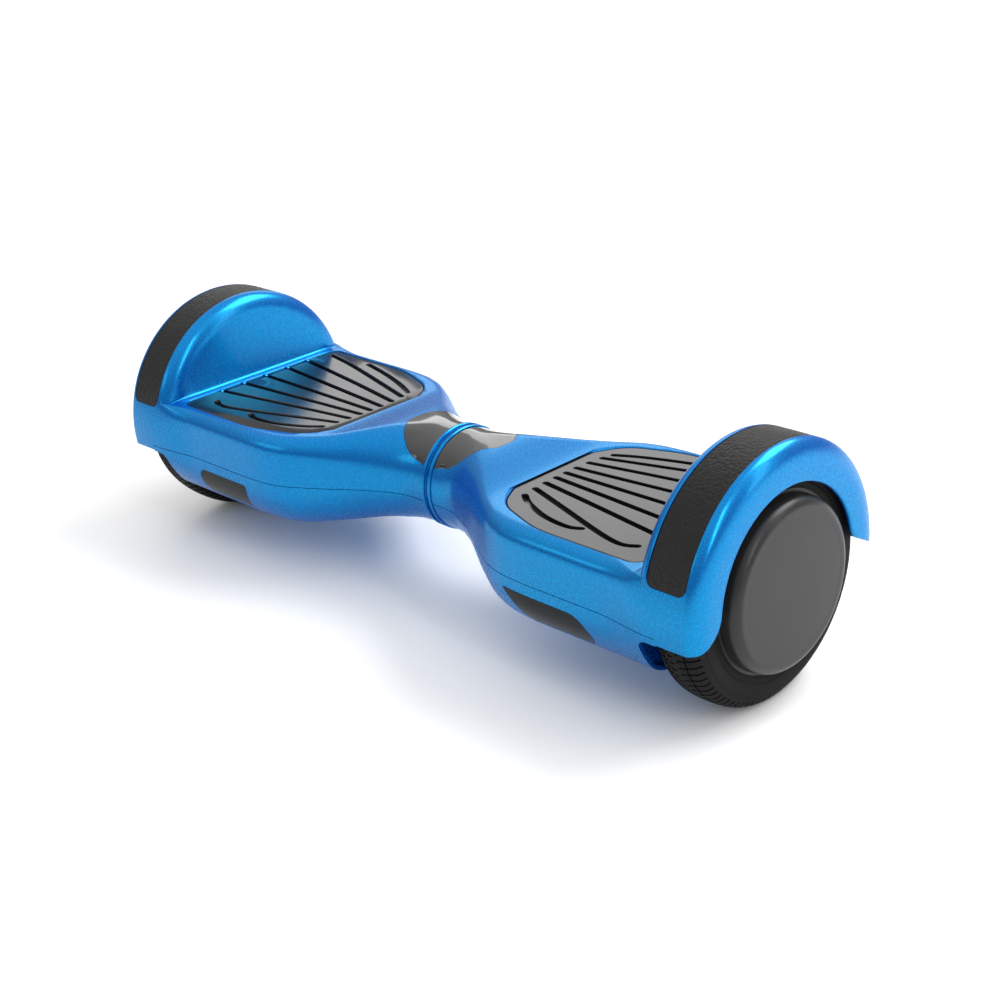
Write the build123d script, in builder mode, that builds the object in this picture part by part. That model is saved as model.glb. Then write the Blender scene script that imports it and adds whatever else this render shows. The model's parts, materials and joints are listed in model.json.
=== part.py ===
from build123d import *
import os

# Self balancing hoverboard: two mirrored halves that twist on a central tube, each with a
# hub motor wheel under a fender, a sprung foot pad, lights and electronics.
# Millimetres. X runs along the length, Y from the front (-) to the rear (+), Z up from the
# ground. The origin is on the ground, under the middle of the central tube.
# Every half is drawn on the +X side, and the left one is its mirror image.

# ---- overall sizes ----
CAP_FACE_X = 292.0          # half the length, to the face of a hub cap
TYRE_R = 84.0               # tyre, ground to axle
FENDER_R = 93.0             # outside of the fender about the axle
DECK_RISE = 28.0            # deck above the axle
BELLY_DROP = 48.0           # underside below the axle
BODY_HALF_DEPTH = 88.0      # front and rear sides from the middle
PART_DROP = 8.0             # parting line between the covers, below the axle
SKIRT_DROP = 12.0           # lower edge of the fender skirt below the axle
WALL = 2.5                  # moulded covers
GAP = 0.3                   # clearance between pieces that don't move together
FIT = 0.05                  # radial clearance of a running fit

AXLE_Z = TYRE_R
DECK_Z = AXLE_Z + DECK_RISE
BELLY_Z = AXLE_Z - BELLY_DROP
PART_Z = AXLE_Z - PART_DROP
SKIRT_Z = AXLE_Z - SKIRT_DROP

# ---- body stations ----
NECK_X = 4.7                # covers start here
NECK_R = 37.5               # outside of the neck about the axle line
NECK_END_X = 22.0           # the neck is straight up to here
FLARE_X = 47.0              # middle of the flare
SHOULDER_X = 92.0           # end of the flare
FULL_X = 122.0              # full depth from here out
DECK_EDGE_R = 11.0          # rounding of the deck's long edges
BELLY_EDGE_R = 33.0         # rounding of the underside's long edges

# ---- fender ----
WALL_X = 238.6              # inner face of the fender, over the deck
STRIP_X = 248.0             # strip seat starts here
STRIP_W = 30.0              # strip width
STRIP_T = 1.5               # strip thickness
STRIP_RISE = 24.0           # strip's ends, above the axle
FENDER_FACE_X = 288.5       # outer face of the fender
FENDER_SHOULDER_R = 12.0    # rounding from the strip to the outer face
FENDER_CROWN_R = 8.0        # rounding on the inner side
OPENING_R = 66.0            # wheel opening in the outer face
STRIP_END_X = STRIP_X + STRIP_W
STRIP_SEAT_R = FENDER_R - STRIP_T

# ---- wheel ----
TYRE_IN_X = 244.0           # inner side of the tyre
TYRE_OUT_X = 280.0          # outer side of the tyre
RIM_R = 60.0                # tyre seat
DRUM_WALL = 8.0             # motor drum
PLATE_T = 3.0               # drum's outer plate and the motor's inner cover
TYRE_CREST_W = 16.0         # flat part of the tread
BEARING_R = 16.0
BEARING_W = 8.0
BEARING_LIP = 3.0           # wall round a bearing
AXLE_R = 8.0
MAGNET_T = 3.0
AIR_GAP = 0.7
POLES = 18
MAGNETS = 20
TOOTH_W = 6.0
SHOE_T = 2.5
SLOT_W = 2.0
YOKE_R = 32.0
YOKE_BORE_R = 22.0
COIL_T = 2.0
COIL_CLEAR = 0.15
HUB_CAP_R = 58.0
HUB_CAP_T = 2.5
HUB_CAP_ROUND = 6.0
MOTOR_COVER_X = TYRE_IN_X + 1.0
DRUM_IN_X = MOTOR_COVER_X + PLATE_T
DRUM_OUT_X = TYRE_OUT_X - 1.0
DRUM_BORE_R = RIM_R - DRUM_WALL
MAGNET_R = DRUM_BORE_R - MAGNET_T
STATOR_R = MAGNET_R - AIR_GAP
STATOR_HALF_W = 8.0
STATOR_X = (DRUM_IN_X + DRUM_OUT_X - PLATE_T) / 2
AXLE_END_X = DRUM_OUT_X + 5.0
LEAD_R = 3.5
LEAD_L = 16.0
LEAD_IN_AXLE = 8.0

# ---- foot pad ----
PAD_IN_X = 94.0             # inner edge of the recess
PAD_MARGIN = 10.6           # deck left between the recess and the fender
PAD_CLEAR = 0.5             # gap round the pad
PAD_TRAVEL = 1.5            # how far the pad sinks under a foot
PAD_BASE_T = 3.0
RIB_H = 3.0
RIB_W = 6.0
RIB_COUNT = 9
RIB_PITCH_IN = 10.0         # between ribs at the inner end
RIB_PITCH_OUT = 15.0        # between ribs at the fender
PAD_SINK = 0.5              # rib tops below the deck
PIN_R = 4.0
PIN_L = 10.0
PIN_X = 160.0
PIN_Y = 40.0
PAD_OUT_X = WALL_X - PAD_MARGIN
PAD_UNDER_Z = DECK_Z - PAD_SINK - RIB_H - PAD_BASE_T
RECESS_Z = PAD_UNDER_Z - PAD_TRAVEL - GAP
RECESS_FLOOR_Z = RECESS_Z - WALL

# ---- chassis, pivot and electronics ----
PLATE_IN_X = 78.0
CHASSIS_OUT_X = 232.0
CHASSIS_HALF_DEPTH = 56.0
CHASSIS_T = 4.0
CHASSIS_DROP = 6.0          # top of the plate below the axle
FLANGE_H = 9.0
FLANGE_T = 3.0
NECK_BOSS_X = 14.0
NECK_BOSS_R = 24.0
NECK_BOSS_L = 46.0
WEB_T = 4.5
TUBE_R = 15.0
TUBE_BORE_R = 12.0
BUSH_T = 2.5
BUSH_W = 12.0
CIRCLIP_T = 1.6
CIRCLIP_R = 18.0
CIRCLIP_DEPTH = 1.0
CIRCLIP_MOUTH = 8.0
CABLE_R = 5.0
CABLE_OUT = 11.0
SADDLE_L = 30.0
SADDLE_HALF_DEPTH = 26.0
CLAMP_H = 11.5
CLAMP_PITCH = 16.0
CLAMP_SCREW_Y = 18.0
CLAMP_SCREW_R = 3.0
CLAMP_HEAD_R = 4.8
CLAMP_HEAD_H = 3.5
CLAMP_SCREW_BITE = 7.0      # screw below the saddle's top
POST_R = 4.5
COVER_SCREW_Y = 47.0
COVER_SCREW_XS = (112.0, 214.0)
COVER_SCREW_R = 1.6
COVER_HEAD_R = 3.6
COVER_HEAD_H = 2.4
COVER_HEAD_Z = 60.0
COVER_SCREW_BITE = 12.0     # screw inside the top cover's post
SLEEVE_T = 2.0              # wall of the bottom cover's screw tubes
BOARD_T = 1.6
GYRO_Z = 90.0
GYRO_X = 134.0
GYRO_L = 52.0
GYRO_HALF_DEPTH = 46.0
GYRO_POST_INSET = 5.0
SENSOR_HALF_W = 6.0
SENSOR_H = 2.0
CRADLE_Z = 44.0
CRADLE_XS = (130.0, 196.0)
CRADLE_W = 4.0
BATTERY_X = 98.0
BATTERY_L = 124.0
BATTERY_HALF_DEPTH = 36.0
BOARD_X = 104.0
BOARD_L = 110.0
BOARD_HALF_DEPTH = 34.0
HEATSINK_L = 70.0
HEATSINK_H = 12.0
CAPACITOR_R = 6.0
CAPACITOR_H = 20.0
PLATE_Z = AXLE_Z - CHASSIS_DROP
PLATE_UNDER_Z = PLATE_Z - CHASSIS_T
SADDLE_X = CHASSIS_OUT_X - SADDLE_L
SADDLE_MID_X = CHASSIS_OUT_X - SADDLE_L / 2
NECK_BOSS_END_X = NECK_BOSS_X + NECK_BOSS_L
TUBE_END_X = NECK_BOSS_END_X + GAP + 2.5 * CIRCLIP_T
BELLY_FLOOR_Z = BELLY_Z + WALL

# ---- trim on the covers ----
COLLAR_X = 0.5              # half of the gap between the collars
COLLAR_R = 38.6
COLLAR_BORE_R = 30.0
COLLAR_GROOVE_X = 2.0       # the groove is this wide on each side
COLLAR_GROOVE_R = 37.2
COLLAR_EDGE = 0.5
SLEEVE_L = 8.0
SLEEVE_BORE_R = 31.5
WINDOW_END_X = 45.0
WINDOW_NECK_Y = 33.0
WINDOW_END_Y = 13.0
WINDOW_BULGE_Y = 29.0
WINDOW_T = 1.8
LENS_IN_X = 134.0
LENS_OUT_X = 208.0
LENS_TOP_Z = 68.0
LENS_LOW_Z = 47.0
LENS_ROUND = 9.0
LENS_T = 2.2
LIGHT_BOARD_Y = 75.0
LIGHT_BOARD_MARGIN = 8.0
LIGHT_LEDGE_W = 5.0
LIGHT_LEDGE_Z = 48.0

# ---- socket and button on the rear of the right half ----
PORT_Z = 61.0
BOSS_R = 12.5
BOSS_FACE_Y = 84.0
BOSS_L = 8.0
SOCKET_X = 130.0
SOCKET_R = 8.0
SOCKET_BORE_R = 6.0
SOCKET_BORE_L = 9.0
SOCKET_L = 14.0
SOCKET_FLANGE_R = 10.5
SOCKET_PIN_R = 0.9
SOCKET_PIN_L = 3.5
SOCKET_PIN_PITCH_R = 3.0
FLAP_R = 11.0
FLAP_T = 2.0
HINGE_Z = 48.3
HINGE_Y = 86.7
HINGE_PIN_R = 0.8
KNUCKLE_R = 2.2
KNUCKLE_HALF_W = 3.0
EAR_W = 2.0
BUTTON_X = 178.0
BUTTON_R = 7.0
BUTTON_TRAVEL = 1.5
BUTTON_PROUD = 2.2
BUTTON_FLANGE_R = 8.6
BUTTON_FLANGE_T = 2.0
SWITCH_HALF_W = 6.0
SWITCH_L = 9.0
FLAP_Y = BOSS_FACE_Y + GAP
BOSS_BACK_Y = BOSS_FACE_Y - BOSS_L
FLANGE_FACE_Y = BOSS_BACK_Y - GAP
BUTTON_BACK_Y = FLANGE_FACE_Y - BUTTON_FLANGE_T
SWITCH_FACE_Y = BUTTON_BACK_Y - BUTTON_TRAVEL - GAP

ALONG_X = Plane.YZ
ACROSS_Y = Plane.XZ
BIG = 700.0                 # further than anything reaches


def save(part, name):
    """Label one piece and write it to its own file."""
    part.label = name
    export_step(part, f"parts/{name}.step")


def save_pair(part, name):
    """Write the right piece and its mirror image on the left."""
    with BuildPart() as twin:
        mirror(part, about=Plane.YZ)
    save(part, f"right_{name}")
    save(twin.part, f"left_{name}")


def stations():
    """Sections of the body: place, half depth, rise, drop and the two edge roundings."""
    neck_round = NECK_R - 0.2
    return [
        (NECK_X, NECK_R, NECK_R, NECK_R, neck_round, neck_round),
        ((NECK_X + NECK_END_X) / 2, NECK_R, NECK_R, NECK_R, neck_round, neck_round),
        (NECK_END_X, NECK_R + 0.5, NECK_R, NECK_R, neck_round - 1, neck_round - 1),
        (FLARE_X, NECK_R + 10, NECK_R - 2, NECK_R + 1, 30, neck_round - 1.5),
        (SHOULDER_X, BODY_HALF_DEPTH - 14, DECK_RISE + 0.5, BELLY_DROP - 4, 14, BELLY_EDGE_R),
        (FULL_X, BODY_HALF_DEPTH, DECK_RISE, BELLY_DROP, DECK_EDGE_R, BELLY_EDGE_R),
    ]


def section(x, half_depth, rise, drop, top_round, low_round, inset):
    """One face across the body, as a rectangle with large roundings, inset by a wall."""
    side = half_depth - inset
    top = AXLE_Z + rise - inset
    low = AXLE_Z - drop + inset
    round_up = max(top_round - inset, 2.0)
    round_down = low_round - inset
    with BuildSketch(ALONG_X.offset(x)) as face:
        with BuildLine():
            Line((round_up - side, top), (side - round_up, top))
            CenterArc((side - round_up, top - round_up), round_up, 0, 90)
            Line((side, top - round_up), (side, low + round_down))
            CenterArc((side - round_down, low + round_down), round_down, -90, 90)
            Line((side - round_down, low), (round_down - side, low))
            CenterArc((round_down - side, low + round_down), round_down, 180, 90)
            Line((-side, low + round_down), (-side, top - round_up))
            CenterArc((round_up - side, top - round_up), round_up, 90, 90)
        make_face()
    return face.sketch


def body_solid(inset, end_x):
    """The half's outer form, or the space inside it, from the neck out to end_x."""
    places = stations()
    faces = [section(*place, inset).face() for place in places]
    with BuildPart() as body:
        loft(faces)
        extrude(faces[-1], amount=end_x - FULL_X, dir=(1, 0, 0))
    return body.part


def turned(profile_points, arc=360.0):
    """A solid turned about the axle line from points given as (x, radius)."""
    with BuildPart() as solid:
        with BuildSketch(ACROSS_Y):
            with BuildLine():
                Polyline([(x, AXLE_Z + r) for x, r in profile_points], close=True)
            make_face()
        revolve(axis=Axis((0, 0, AXLE_Z), (1, 0, 0)), revolution_arc=arc)
    return solid.part


def barrel(x_from, x_to, radius, bore=0.0):
    """A plain cylinder or ring about the axle line."""
    return turned([(x_from, bore), (x_to, bore), (x_to, radius), (x_from, radius)])


def upright(x, y, radius, z_from, z_to):
    """A round post along Z."""
    with BuildPart() as post:
        with BuildSketch(Plane.XY.offset(z_from)):
            with Locations((x, y)):
                Circle(radius)
        extrude(amount=z_to - z_from)
    return post.part


def rearward(x, z, radius, y_from, y_to):
    """A round boss along Y."""
    with BuildPart() as boss:
        with BuildSketch(ACROSS_Y.offset(-y_to)):
            with Locations((x, z)):
                Circle(radius)
        extrude(amount=y_to - y_from)
    return boss.part


def sideways(x_from, x_to, y, z, radius):
    """A round bar along X."""
    with BuildPart() as bar:
        with BuildSketch(ALONG_X.offset(x_from)):
            with Locations((y, z)):
                Circle(radius)
        extrude(amount=x_to - x_from)
    return bar.part


def block(x_from, x_to, y_from, y_to, z_from, z_to):
    """A plain block between its faces."""
    with BuildPart() as solid:
        with BuildSketch(Plane.XY.offset(z_from)):
            with Locations(((x_from + x_to) / 2, (y_from + y_to) / 2)):
                Rectangle(x_to - x_from, y_to - y_from)
        extrude(amount=z_to - z_from)
    return solid.part


def cover_screw_places():
    """Where the screws run up through the bottom cover and the chassis."""
    return [(x, side * COVER_SCREW_Y) for x in COVER_SCREW_XS for side in (-1, 1)]


def pad_outline(inset):
    """Plan of the foot pad's recess, inset by a clearance."""
    side = BODY_HALF_DEPTH - DECK_EDGE_R
    length = PAD_OUT_X - PAD_IN_X
    front = [(PAD_OUT_X, side), (PAD_IN_X + 0.53 * length, side - 1), (PAD_IN_X + 0.3 * length, side - 5.5),
             (PAD_IN_X, 0.6 * side)]
    rear = [(x, -y) for x, y in reversed(front)]
    with BuildSketch() as plan:
        with BuildLine():
            Polyline(front + rear, close=True)
        make_face()
        fillet(plan.vertices().group_by(Axis.X)[-1], 12)
        fillet(plan.vertices().group_by(Axis.X)[0], 9)
        if inset:
            offset(amount=-inset, kind=Kind.INTERSECTION)
    return plan.sketch


def window_outline(clearance):
    """Plan of the display window: widest on the collar and pointed towards the deck."""
    near = NECK_X + GAP - clearance
    half = WINDOW_NECK_Y + clearance
    bulge = WINDOW_BULGE_Y + clearance
    end = WINDOW_END_Y + clearance
    tip = WINDOW_END_X + clearance
    with BuildSketch() as plan:
        with BuildLine():
            Line((near, -half), (near, half))
            ThreePointArc((near, half), (0.55 * WINDOW_END_X, bulge), (tip, end))
            Line((tip, end), (tip, -end))
            ThreePointArc((tip, -end), (0.55 * WINDOW_END_X, -bulge), (near, -half))
        make_face()
        fillet(plan.vertices().group_by(Axis.X)[-1], 5)
    return plan.sketch


def lens_outline(clearance):
    """Elevation of the front light's lens."""
    width = LENS_OUT_X - LENS_IN_X
    height = LENS_TOP_Z - LENS_LOW_Z
    with BuildSketch(ACROSS_Y) as outline:
        with Locations(((LENS_IN_X + LENS_OUT_X) / 2, (LENS_TOP_Z + LENS_LOW_Z) / 2)):
            Rectangle(width + 2 * clearance, height + 2 * clearance)
        fillet(outline.vertices().group_by(Axis.X)[-1], LENS_ROUND)
        fillet(outline.vertices().group_by(Axis.X)[0], 2)
    return outline.sketch


def top_cover():
    """Upper shell: deck with the pad's recess, the fender over the wheel and its skirt."""
    crown = FENDER_R - FENDER_CROWN_R
    shoulder = FENDER_R - FENDER_SHOULDER_R
    shoulder_x = FENDER_FACE_X - 0.3 * FENDER_SHOULDER_R
    shoulder_r = FENDER_R - 0.35 * FENDER_SHOULDER_R
    fender = turned([
        (WALL_X, 0), (FENDER_FACE_X, 0), (FENDER_FACE_X, shoulder), (shoulder_x, shoulder_r),
        (STRIP_END_X, FENDER_R), (STRIP_X, FENDER_R),
        (WALL_X + 0.3 * FENDER_CROWN_R, crown + 0.75 * FENDER_CROWN_R), (WALL_X, crown),
    ])
    well = turned([
        (WALL_X + WALL, 0), (FENDER_FACE_X - WALL, 0), (FENDER_FACE_X - WALL, shoulder - WALL / 2),
        (shoulder_x - 0.8 * WALL, shoulder_r - 0.8 * WALL), (STRIP_END_X, STRIP_SEAT_R - WALL),
        (STRIP_X, STRIP_SEAT_R - WALL), (WALL_X + WALL, crown),
    ])
    with BuildPart() as cover:
        add(body_solid(0, WALL_X + WALL))
        add(fender)
        # hollow inside, the well round the wheel and its opening
        add(body_solid(WALL, WALL_X), mode=Mode.SUBTRACT)
        add(well, mode=Mode.SUBTRACT)
        add(barrel(STRIP_END_X, BIG, OPENING_R), mode=Mode.SUBTRACT)
        add(block(0, STRIP_X, -BIG, BIG, -BIG, PART_Z + GAP / 2), mode=Mode.SUBTRACT)
        add(block(0, BIG, -BIG, BIG, -BIG, SKIRT_Z), mode=Mode.SUBTRACT)
        # the wall between the electronics and the wheel has a hole for the axle
        add(barrel(WALL_X - WALL, WALL_X + 2 * WALL, BEARING_R + BEARING_LIP), mode=Mode.SUBTRACT)
        # seat of the rubber strip
        add(strip_ring(STRIP_SEAT_R, 0), mode=Mode.SUBTRACT)
        # the recess for the pad, its floor and the floor's holes
        with BuildSketch(Plane.XY.offset(RECESS_FLOOR_Z)):
            add(pad_outline(-WALL))
        extrude(amount=DECK_Z - RECESS_FLOOR_Z - WALL / 2)
        with BuildSketch(Plane.XY.offset(RECESS_Z)):
            add(pad_outline(0))
        extrude(amount=BIG, mode=Mode.SUBTRACT)
        for side in (-1, 1):
            add(upright(PIN_X, side * PIN_Y, PIN_R + GAP, RECESS_FLOOR_Z - WALL, DECK_Z), mode=Mode.SUBTRACT)
        # the display window's cut-out
        with BuildSketch(Plane.XY.offset(AXLE_Z)):
            add(window_outline(GAP))
        extrude(amount=BIG, mode=Mode.SUBTRACT)
        # posts that take the cover screws
        for x, y in cover_screw_places():
            add(upright(x, y, POST_R, PLATE_Z + GAP, RECESS_FLOOR_Z + WALL / 2))
            add(upright(x, y, COVER_SCREW_R + FIT, PLATE_Z, RECESS_FLOOR_Z - WALL), mode=Mode.SUBTRACT)
    return cover.part


def strip_ring(inner_r, end_gap):
    """The strip's ring over the fender, or the groove that it lies in."""
    with BuildPart() as ring:
        add(barrel(STRIP_X + end_gap, STRIP_END_X - end_gap, FENDER_R, inner_r))
        add(block(0, BIG, -BIG, BIG, -BIG, AXLE_Z + STRIP_RISE + end_gap), mode=Mode.SUBTRACT)
    return ring.part


def bottom_cover(has_ports):
    """Lower shell, with the light's cut-out, screw tubes and cradle ribs."""
    lip_x = WALL_X + 2 * WALL
    with BuildPart() as cover:
        add(body_solid(0, lip_x - WALL / 2))
        add(body_solid(WALL, WALL_X - WALL), mode=Mode.SUBTRACT)
        # short lip outside the end wall
        with BuildSketch(ALONG_X.offset(WALL_X)):
            add(section(*stations()[-1], WALL).face().moved(Location((WALL_X - FULL_X, 0, 0))))
        extrude(amount=lip_x, mode=Mode.SUBTRACT)
        add(block(0, BIG, -BIG, BIG, PART_Z - GAP / 2, BIG), mode=Mode.SUBTRACT)
        for x in CRADLE_XS:
            half = CRADLE_W / 2
            add(block(x - half, x + half, -BATTERY_HALF_DEPTH, BATTERY_HALF_DEPTH, BELLY_Z + WALL / 2, CRADLE_Z))
        with BuildSketch(ACROSS_Y):
            add(lens_outline(GAP))
        extrude(amount=BODY_HALF_DEPTH, mode=Mode.SUBTRACT)
        # ledge that the light's board stands on
        add(block(LENS_IN_X + LIGHT_BOARD_MARGIN, LENS_OUT_X - LIGHT_BOARD_MARGIN,
                  -LIGHT_BOARD_Y, LIGHT_LEDGE_W - LIGHT_BOARD_Y, BELLY_FLOOR_Z + 2 * WALL, LIGHT_LEDGE_Z))
        for x, y in cover_screw_places():
            add(upright(x, y, COVER_HEAD_R + GAP + SLEEVE_T, BELLY_Z + WALL / 2, PLATE_UNDER_Z - GAP))
            add(upright(x, y, COVER_SCREW_R + GAP, BELLY_Z, PLATE_Z), mode=Mode.SUBTRACT)
            add(upright(x, y, COVER_HEAD_R + GAP, 0, COVER_HEAD_Z + COVER_HEAD_H), mode=Mode.SUBTRACT)
        if has_ports:
            add_ports()
    return cover.part


def add_ports():
    """Bosses, bores, the flap's ears and the switch's stand, on the bottom cover being built."""
    add(rearward(SOCKET_X, PORT_Z, BOSS_R, BOSS_BACK_Y, BOSS_FACE_Y))
    add(rearward(BUTTON_X, PORT_Z, BOSS_R, BOSS_BACK_Y, BOSS_FACE_Y))
    add(rearward(SOCKET_X, PORT_Z, BOSS_R, BOSS_FACE_Y, BIG), mode=Mode.SUBTRACT)
    add(rearward(BUTTON_X, PORT_Z, BOSS_R, BOSS_FACE_Y, BIG), mode=Mode.SUBTRACT)
    add(rearward(SOCKET_X, PORT_Z, SOCKET_R + GAP, 0, BIG), mode=Mode.SUBTRACT)
    add(rearward(BUTTON_X, PORT_Z, BUTTON_R + GAP, 0, BIG), mode=Mode.SUBTRACT)
    for side in (-1, 1):
        near = SOCKET_X + side * (KNUCKLE_HALF_W + GAP)
        far = near + side * EAR_W
        low, high = min(near, far), max(near, far)
        add(sideways(low, high, HINGE_Y, HINGE_Z, KNUCKLE_R))
        add(block(low, high, BOSS_BACK_Y, HINGE_Y, HINGE_Z - KNUCKLE_R, HINGE_Z + KNUCKLE_R))
    add(sideways(SOCKET_X - BOSS_R, SOCKET_X + BOSS_R, HINGE_Y, HINGE_Z, HINGE_PIN_R + FIT), mode=Mode.SUBTRACT)
    add(block(BUTTON_X - SWITCH_HALF_W, BUTTON_X + SWITCH_HALF_W, SWITCH_FACE_Y - SWITCH_L, SWITCH_FACE_Y,
              BELLY_Z + WALL / 2, PORT_Z - SWITCH_HALF_W))


def collar():
    """Ring that closes the covers' neck, with a sleeve inside it and half of the centre groove."""
    out_x = NECK_X - GAP / 2
    with BuildPart() as ring:
        add(turned([
            (COLLAR_X, COLLAR_BORE_R), (COLLAR_X, COLLAR_GROOVE_R), (COLLAR_GROOVE_X, COLLAR_GROOVE_R),
            (COLLAR_GROOVE_X, COLLAR_R - COLLAR_EDGE), (COLLAR_GROOVE_X + COLLAR_EDGE, COLLAR_R),
            (out_x - COLLAR_EDGE, COLLAR_R), (out_x, COLLAR_R - COLLAR_EDGE),
            (out_x, NECK_R - WALL - GAP), (out_x + SLEEVE_L, NECK_R - WALL - GAP),
            (out_x + SLEEVE_L, SLEEVE_BORE_R), (out_x, COLLAR_BORE_R),
        ]))
    return ring.part


def display_window():
    """Dark window over the charge lights, flush with the neck."""
    with BuildPart() as window:
        add(body_solid(0, FULL_X + WALL))
        add(body_solid(WINDOW_T, FULL_X + WALL), mode=Mode.SUBTRACT)
        with BuildSketch(Plane.XY.offset(AXLE_Z)):
            add(window_outline(0))
        extrude(amount=BIG, mode=Mode.INTERSECT)
    return window.part


def light_lens():
    """Smoked lens of the front light, flush with the bottom cover."""
    with BuildPart() as lens:
        add(body_solid(0, WALL_X))
        add(body_solid(LENS_T, WALL_X), mode=Mode.SUBTRACT)
        with BuildSketch(ACROSS_Y):
            add(lens_outline(0))
        extrude(amount=BIG, mode=Mode.INTERSECT)
    return lens.part


def light_board():
    """Strip of front lights on its board, standing on the ledge."""
    low_x = LENS_IN_X + LIGHT_BOARD_MARGIN
    high_x = LENS_OUT_X - LIGHT_BOARD_MARGIN
    lamps = 5
    with BuildPart() as board:
        add(block(low_x, high_x, -LIGHT_BOARD_Y, BOARD_T - LIGHT_BOARD_Y, LIGHT_LEDGE_Z, LENS_TOP_Z - WALL))
        for i in range(lamps):
            x = low_x + (i + 0.5) * (high_x - low_x) / lamps
            add(rearward(x, (LIGHT_LEDGE_Z + LENS_TOP_Z) / 2, BOARD_T, -LIGHT_BOARD_Y - BOARD_T, -LIGHT_BOARD_Y))
    return board.part


def foot_pad():
    """Rubber pad: a plate with ribs that fan out towards the fender."""
    rim = RIB_W / 2
    with BuildPart() as pad:
        with BuildSketch(Plane.XY.offset(PAD_UNDER_Z)):
            add(pad_outline(PAD_CLEAR))
        extrude(amount=PAD_BASE_T)
        with BuildSketch(Plane.XY.offset(PAD_UNDER_Z + PAD_BASE_T)):
            for i in range(RIB_COUNT):
                step = i - (RIB_COUNT - 1) / 2
                inner_y = step * RIB_PITCH_IN
                outer_y = step * RIB_PITCH_OUT
                with BuildLine():
                    Polyline((PAD_IN_X, inner_y - RIB_W / 2), (PAD_OUT_X, outer_y - RIB_W / 2),
                             (PAD_OUT_X, outer_y + RIB_W / 2), (PAD_IN_X, inner_y + RIB_W / 2), close=True)
                make_face()
            add(pad_outline(PAD_CLEAR + rim), mode=Mode.INTERSECT)
        extrude(amount=RIB_H)
    return pad.part


def pressure_pins():
    """Two plungers under the pad that reach down to the sensors."""
    with BuildPart() as pins:
        for side in (-1, 1):
            add(upright(PIN_X, side * PIN_Y, PIN_R, PAD_UNDER_Z - PIN_L, PAD_UNDER_Z))
    return pins.part


def gyro_board():
    """Tilt sensor board on the chassis posts, with a pressure sensor under each pin."""
    with BuildPart() as board:
        add(block(GYRO_X, GYRO_X + GYRO_L, -GYRO_HALF_DEPTH, GYRO_HALF_DEPTH, GYRO_Z, GYRO_Z + BOARD_T))
        for side in (-1, 1):
            y = side * PIN_Y
            add(block(PIN_X - SENSOR_HALF_W, PIN_X + SENSOR_HALF_W, y - SENSOR_HALF_W, y + SENSOR_HALF_W,
                      GYRO_Z + BOARD_T, GYRO_Z + BOARD_T + SENSOR_H))
    return board.part


def clamp_screw_places():
    """The four screws of the axle clamp."""
    half = CLAMP_PITCH / 2
    return [(SADDLE_MID_X + dx, dy) for dx in (-half, half) for dy in (-CLAMP_SCREW_Y, CLAMP_SCREW_Y)]


def chassis(bore_r):
    """Cast frame: neck boss for the tube, plate, side flanges, saddle for the axle and posts."""
    with BuildPart() as frame:
        add(barrel(NECK_BOSS_X, NECK_BOSS_END_X, NECK_BOSS_R))
        add(block(PLATE_IN_X, CHASSIS_OUT_X, -CHASSIS_HALF_DEPTH, CHASSIS_HALF_DEPTH, PLATE_UNDER_Z, PLATE_Z))
        for side in (-1, 1):
            inner = side * (NECK_BOSS_R - WEB_T)
            outer = side * NECK_BOSS_R
            add(block(NECK_BOSS_END_X - WEB_T, PLATE_IN_X + 2 * WEB_T, min(inner, outer), max(inner, outer),
                      PLATE_UNDER_Z, PLATE_Z + FLANGE_H))
            inner = side * (CHASSIS_HALF_DEPTH - FLANGE_T)
            outer = side * CHASSIS_HALF_DEPTH
            add(block(PLATE_IN_X, CHASSIS_OUT_X, min(inner, outer), max(inner, outer), PLATE_Z,
                      PLATE_Z + FLANGE_H))
        add(block(SADDLE_X, CHASSIS_OUT_X, -SADDLE_HALF_DEPTH, SADDLE_HALF_DEPTH, PLATE_Z, AXLE_Z))
        add(barrel(NECK_BOSS_X, NECK_BOSS_END_X, bore_r), mode=Mode.SUBTRACT)
        add(barrel(SADDLE_X, CHASSIS_OUT_X, AXLE_R + FIT), mode=Mode.SUBTRACT)
        for x in (GYRO_X + GYRO_POST_INSET, GYRO_X + GYRO_L - GYRO_POST_INSET):
            for side in (-1, 1):
                add(upright(x, side * (PIN_Y - 3 * POST_R), POST_R, PLATE_Z, GYRO_Z))
        for x, y in cover_screw_places():
            add(upright(x, y, COVER_SCREW_R + GAP, 0, BIG), mode=Mode.SUBTRACT)
        for x, y in clamp_screw_places():
            add(upright(x, y, CLAMP_SCREW_R + FIT, AXLE_Z - CLAMP_SCREW_BITE - GAP, BIG), mode=Mode.SUBTRACT)
    return frame.part


def axle_clamp():
    """Upper half of the axle's seat."""
    with BuildPart() as clamp:
        add(block(SADDLE_X, CHASSIS_OUT_X, -SADDLE_HALF_DEPTH, SADDLE_HALF_DEPTH, AXLE_Z + GAP, AXLE_Z + CLAMP_H))
        add(barrel(SADDLE_X, CHASSIS_OUT_X, AXLE_R + FIT), mode=Mode.SUBTRACT)
        for x, y in clamp_screw_places():
            add(upright(x, y, CLAMP_SCREW_R + FIT, 0, BIG), mode=Mode.SUBTRACT)
    return clamp.part


def clamp_screws():
    """Four machine screws with round heads."""
    top = AXLE_Z + CLAMP_H
    with BuildPart() as screws:
        for x, y in clamp_screw_places():
            add(upright(x, y, CLAMP_SCREW_R, AXLE_Z - CLAMP_SCREW_BITE, top))
            add(upright(x, y, CLAMP_HEAD_R, top, top + CLAMP_HEAD_H))
    return screws.part


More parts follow.
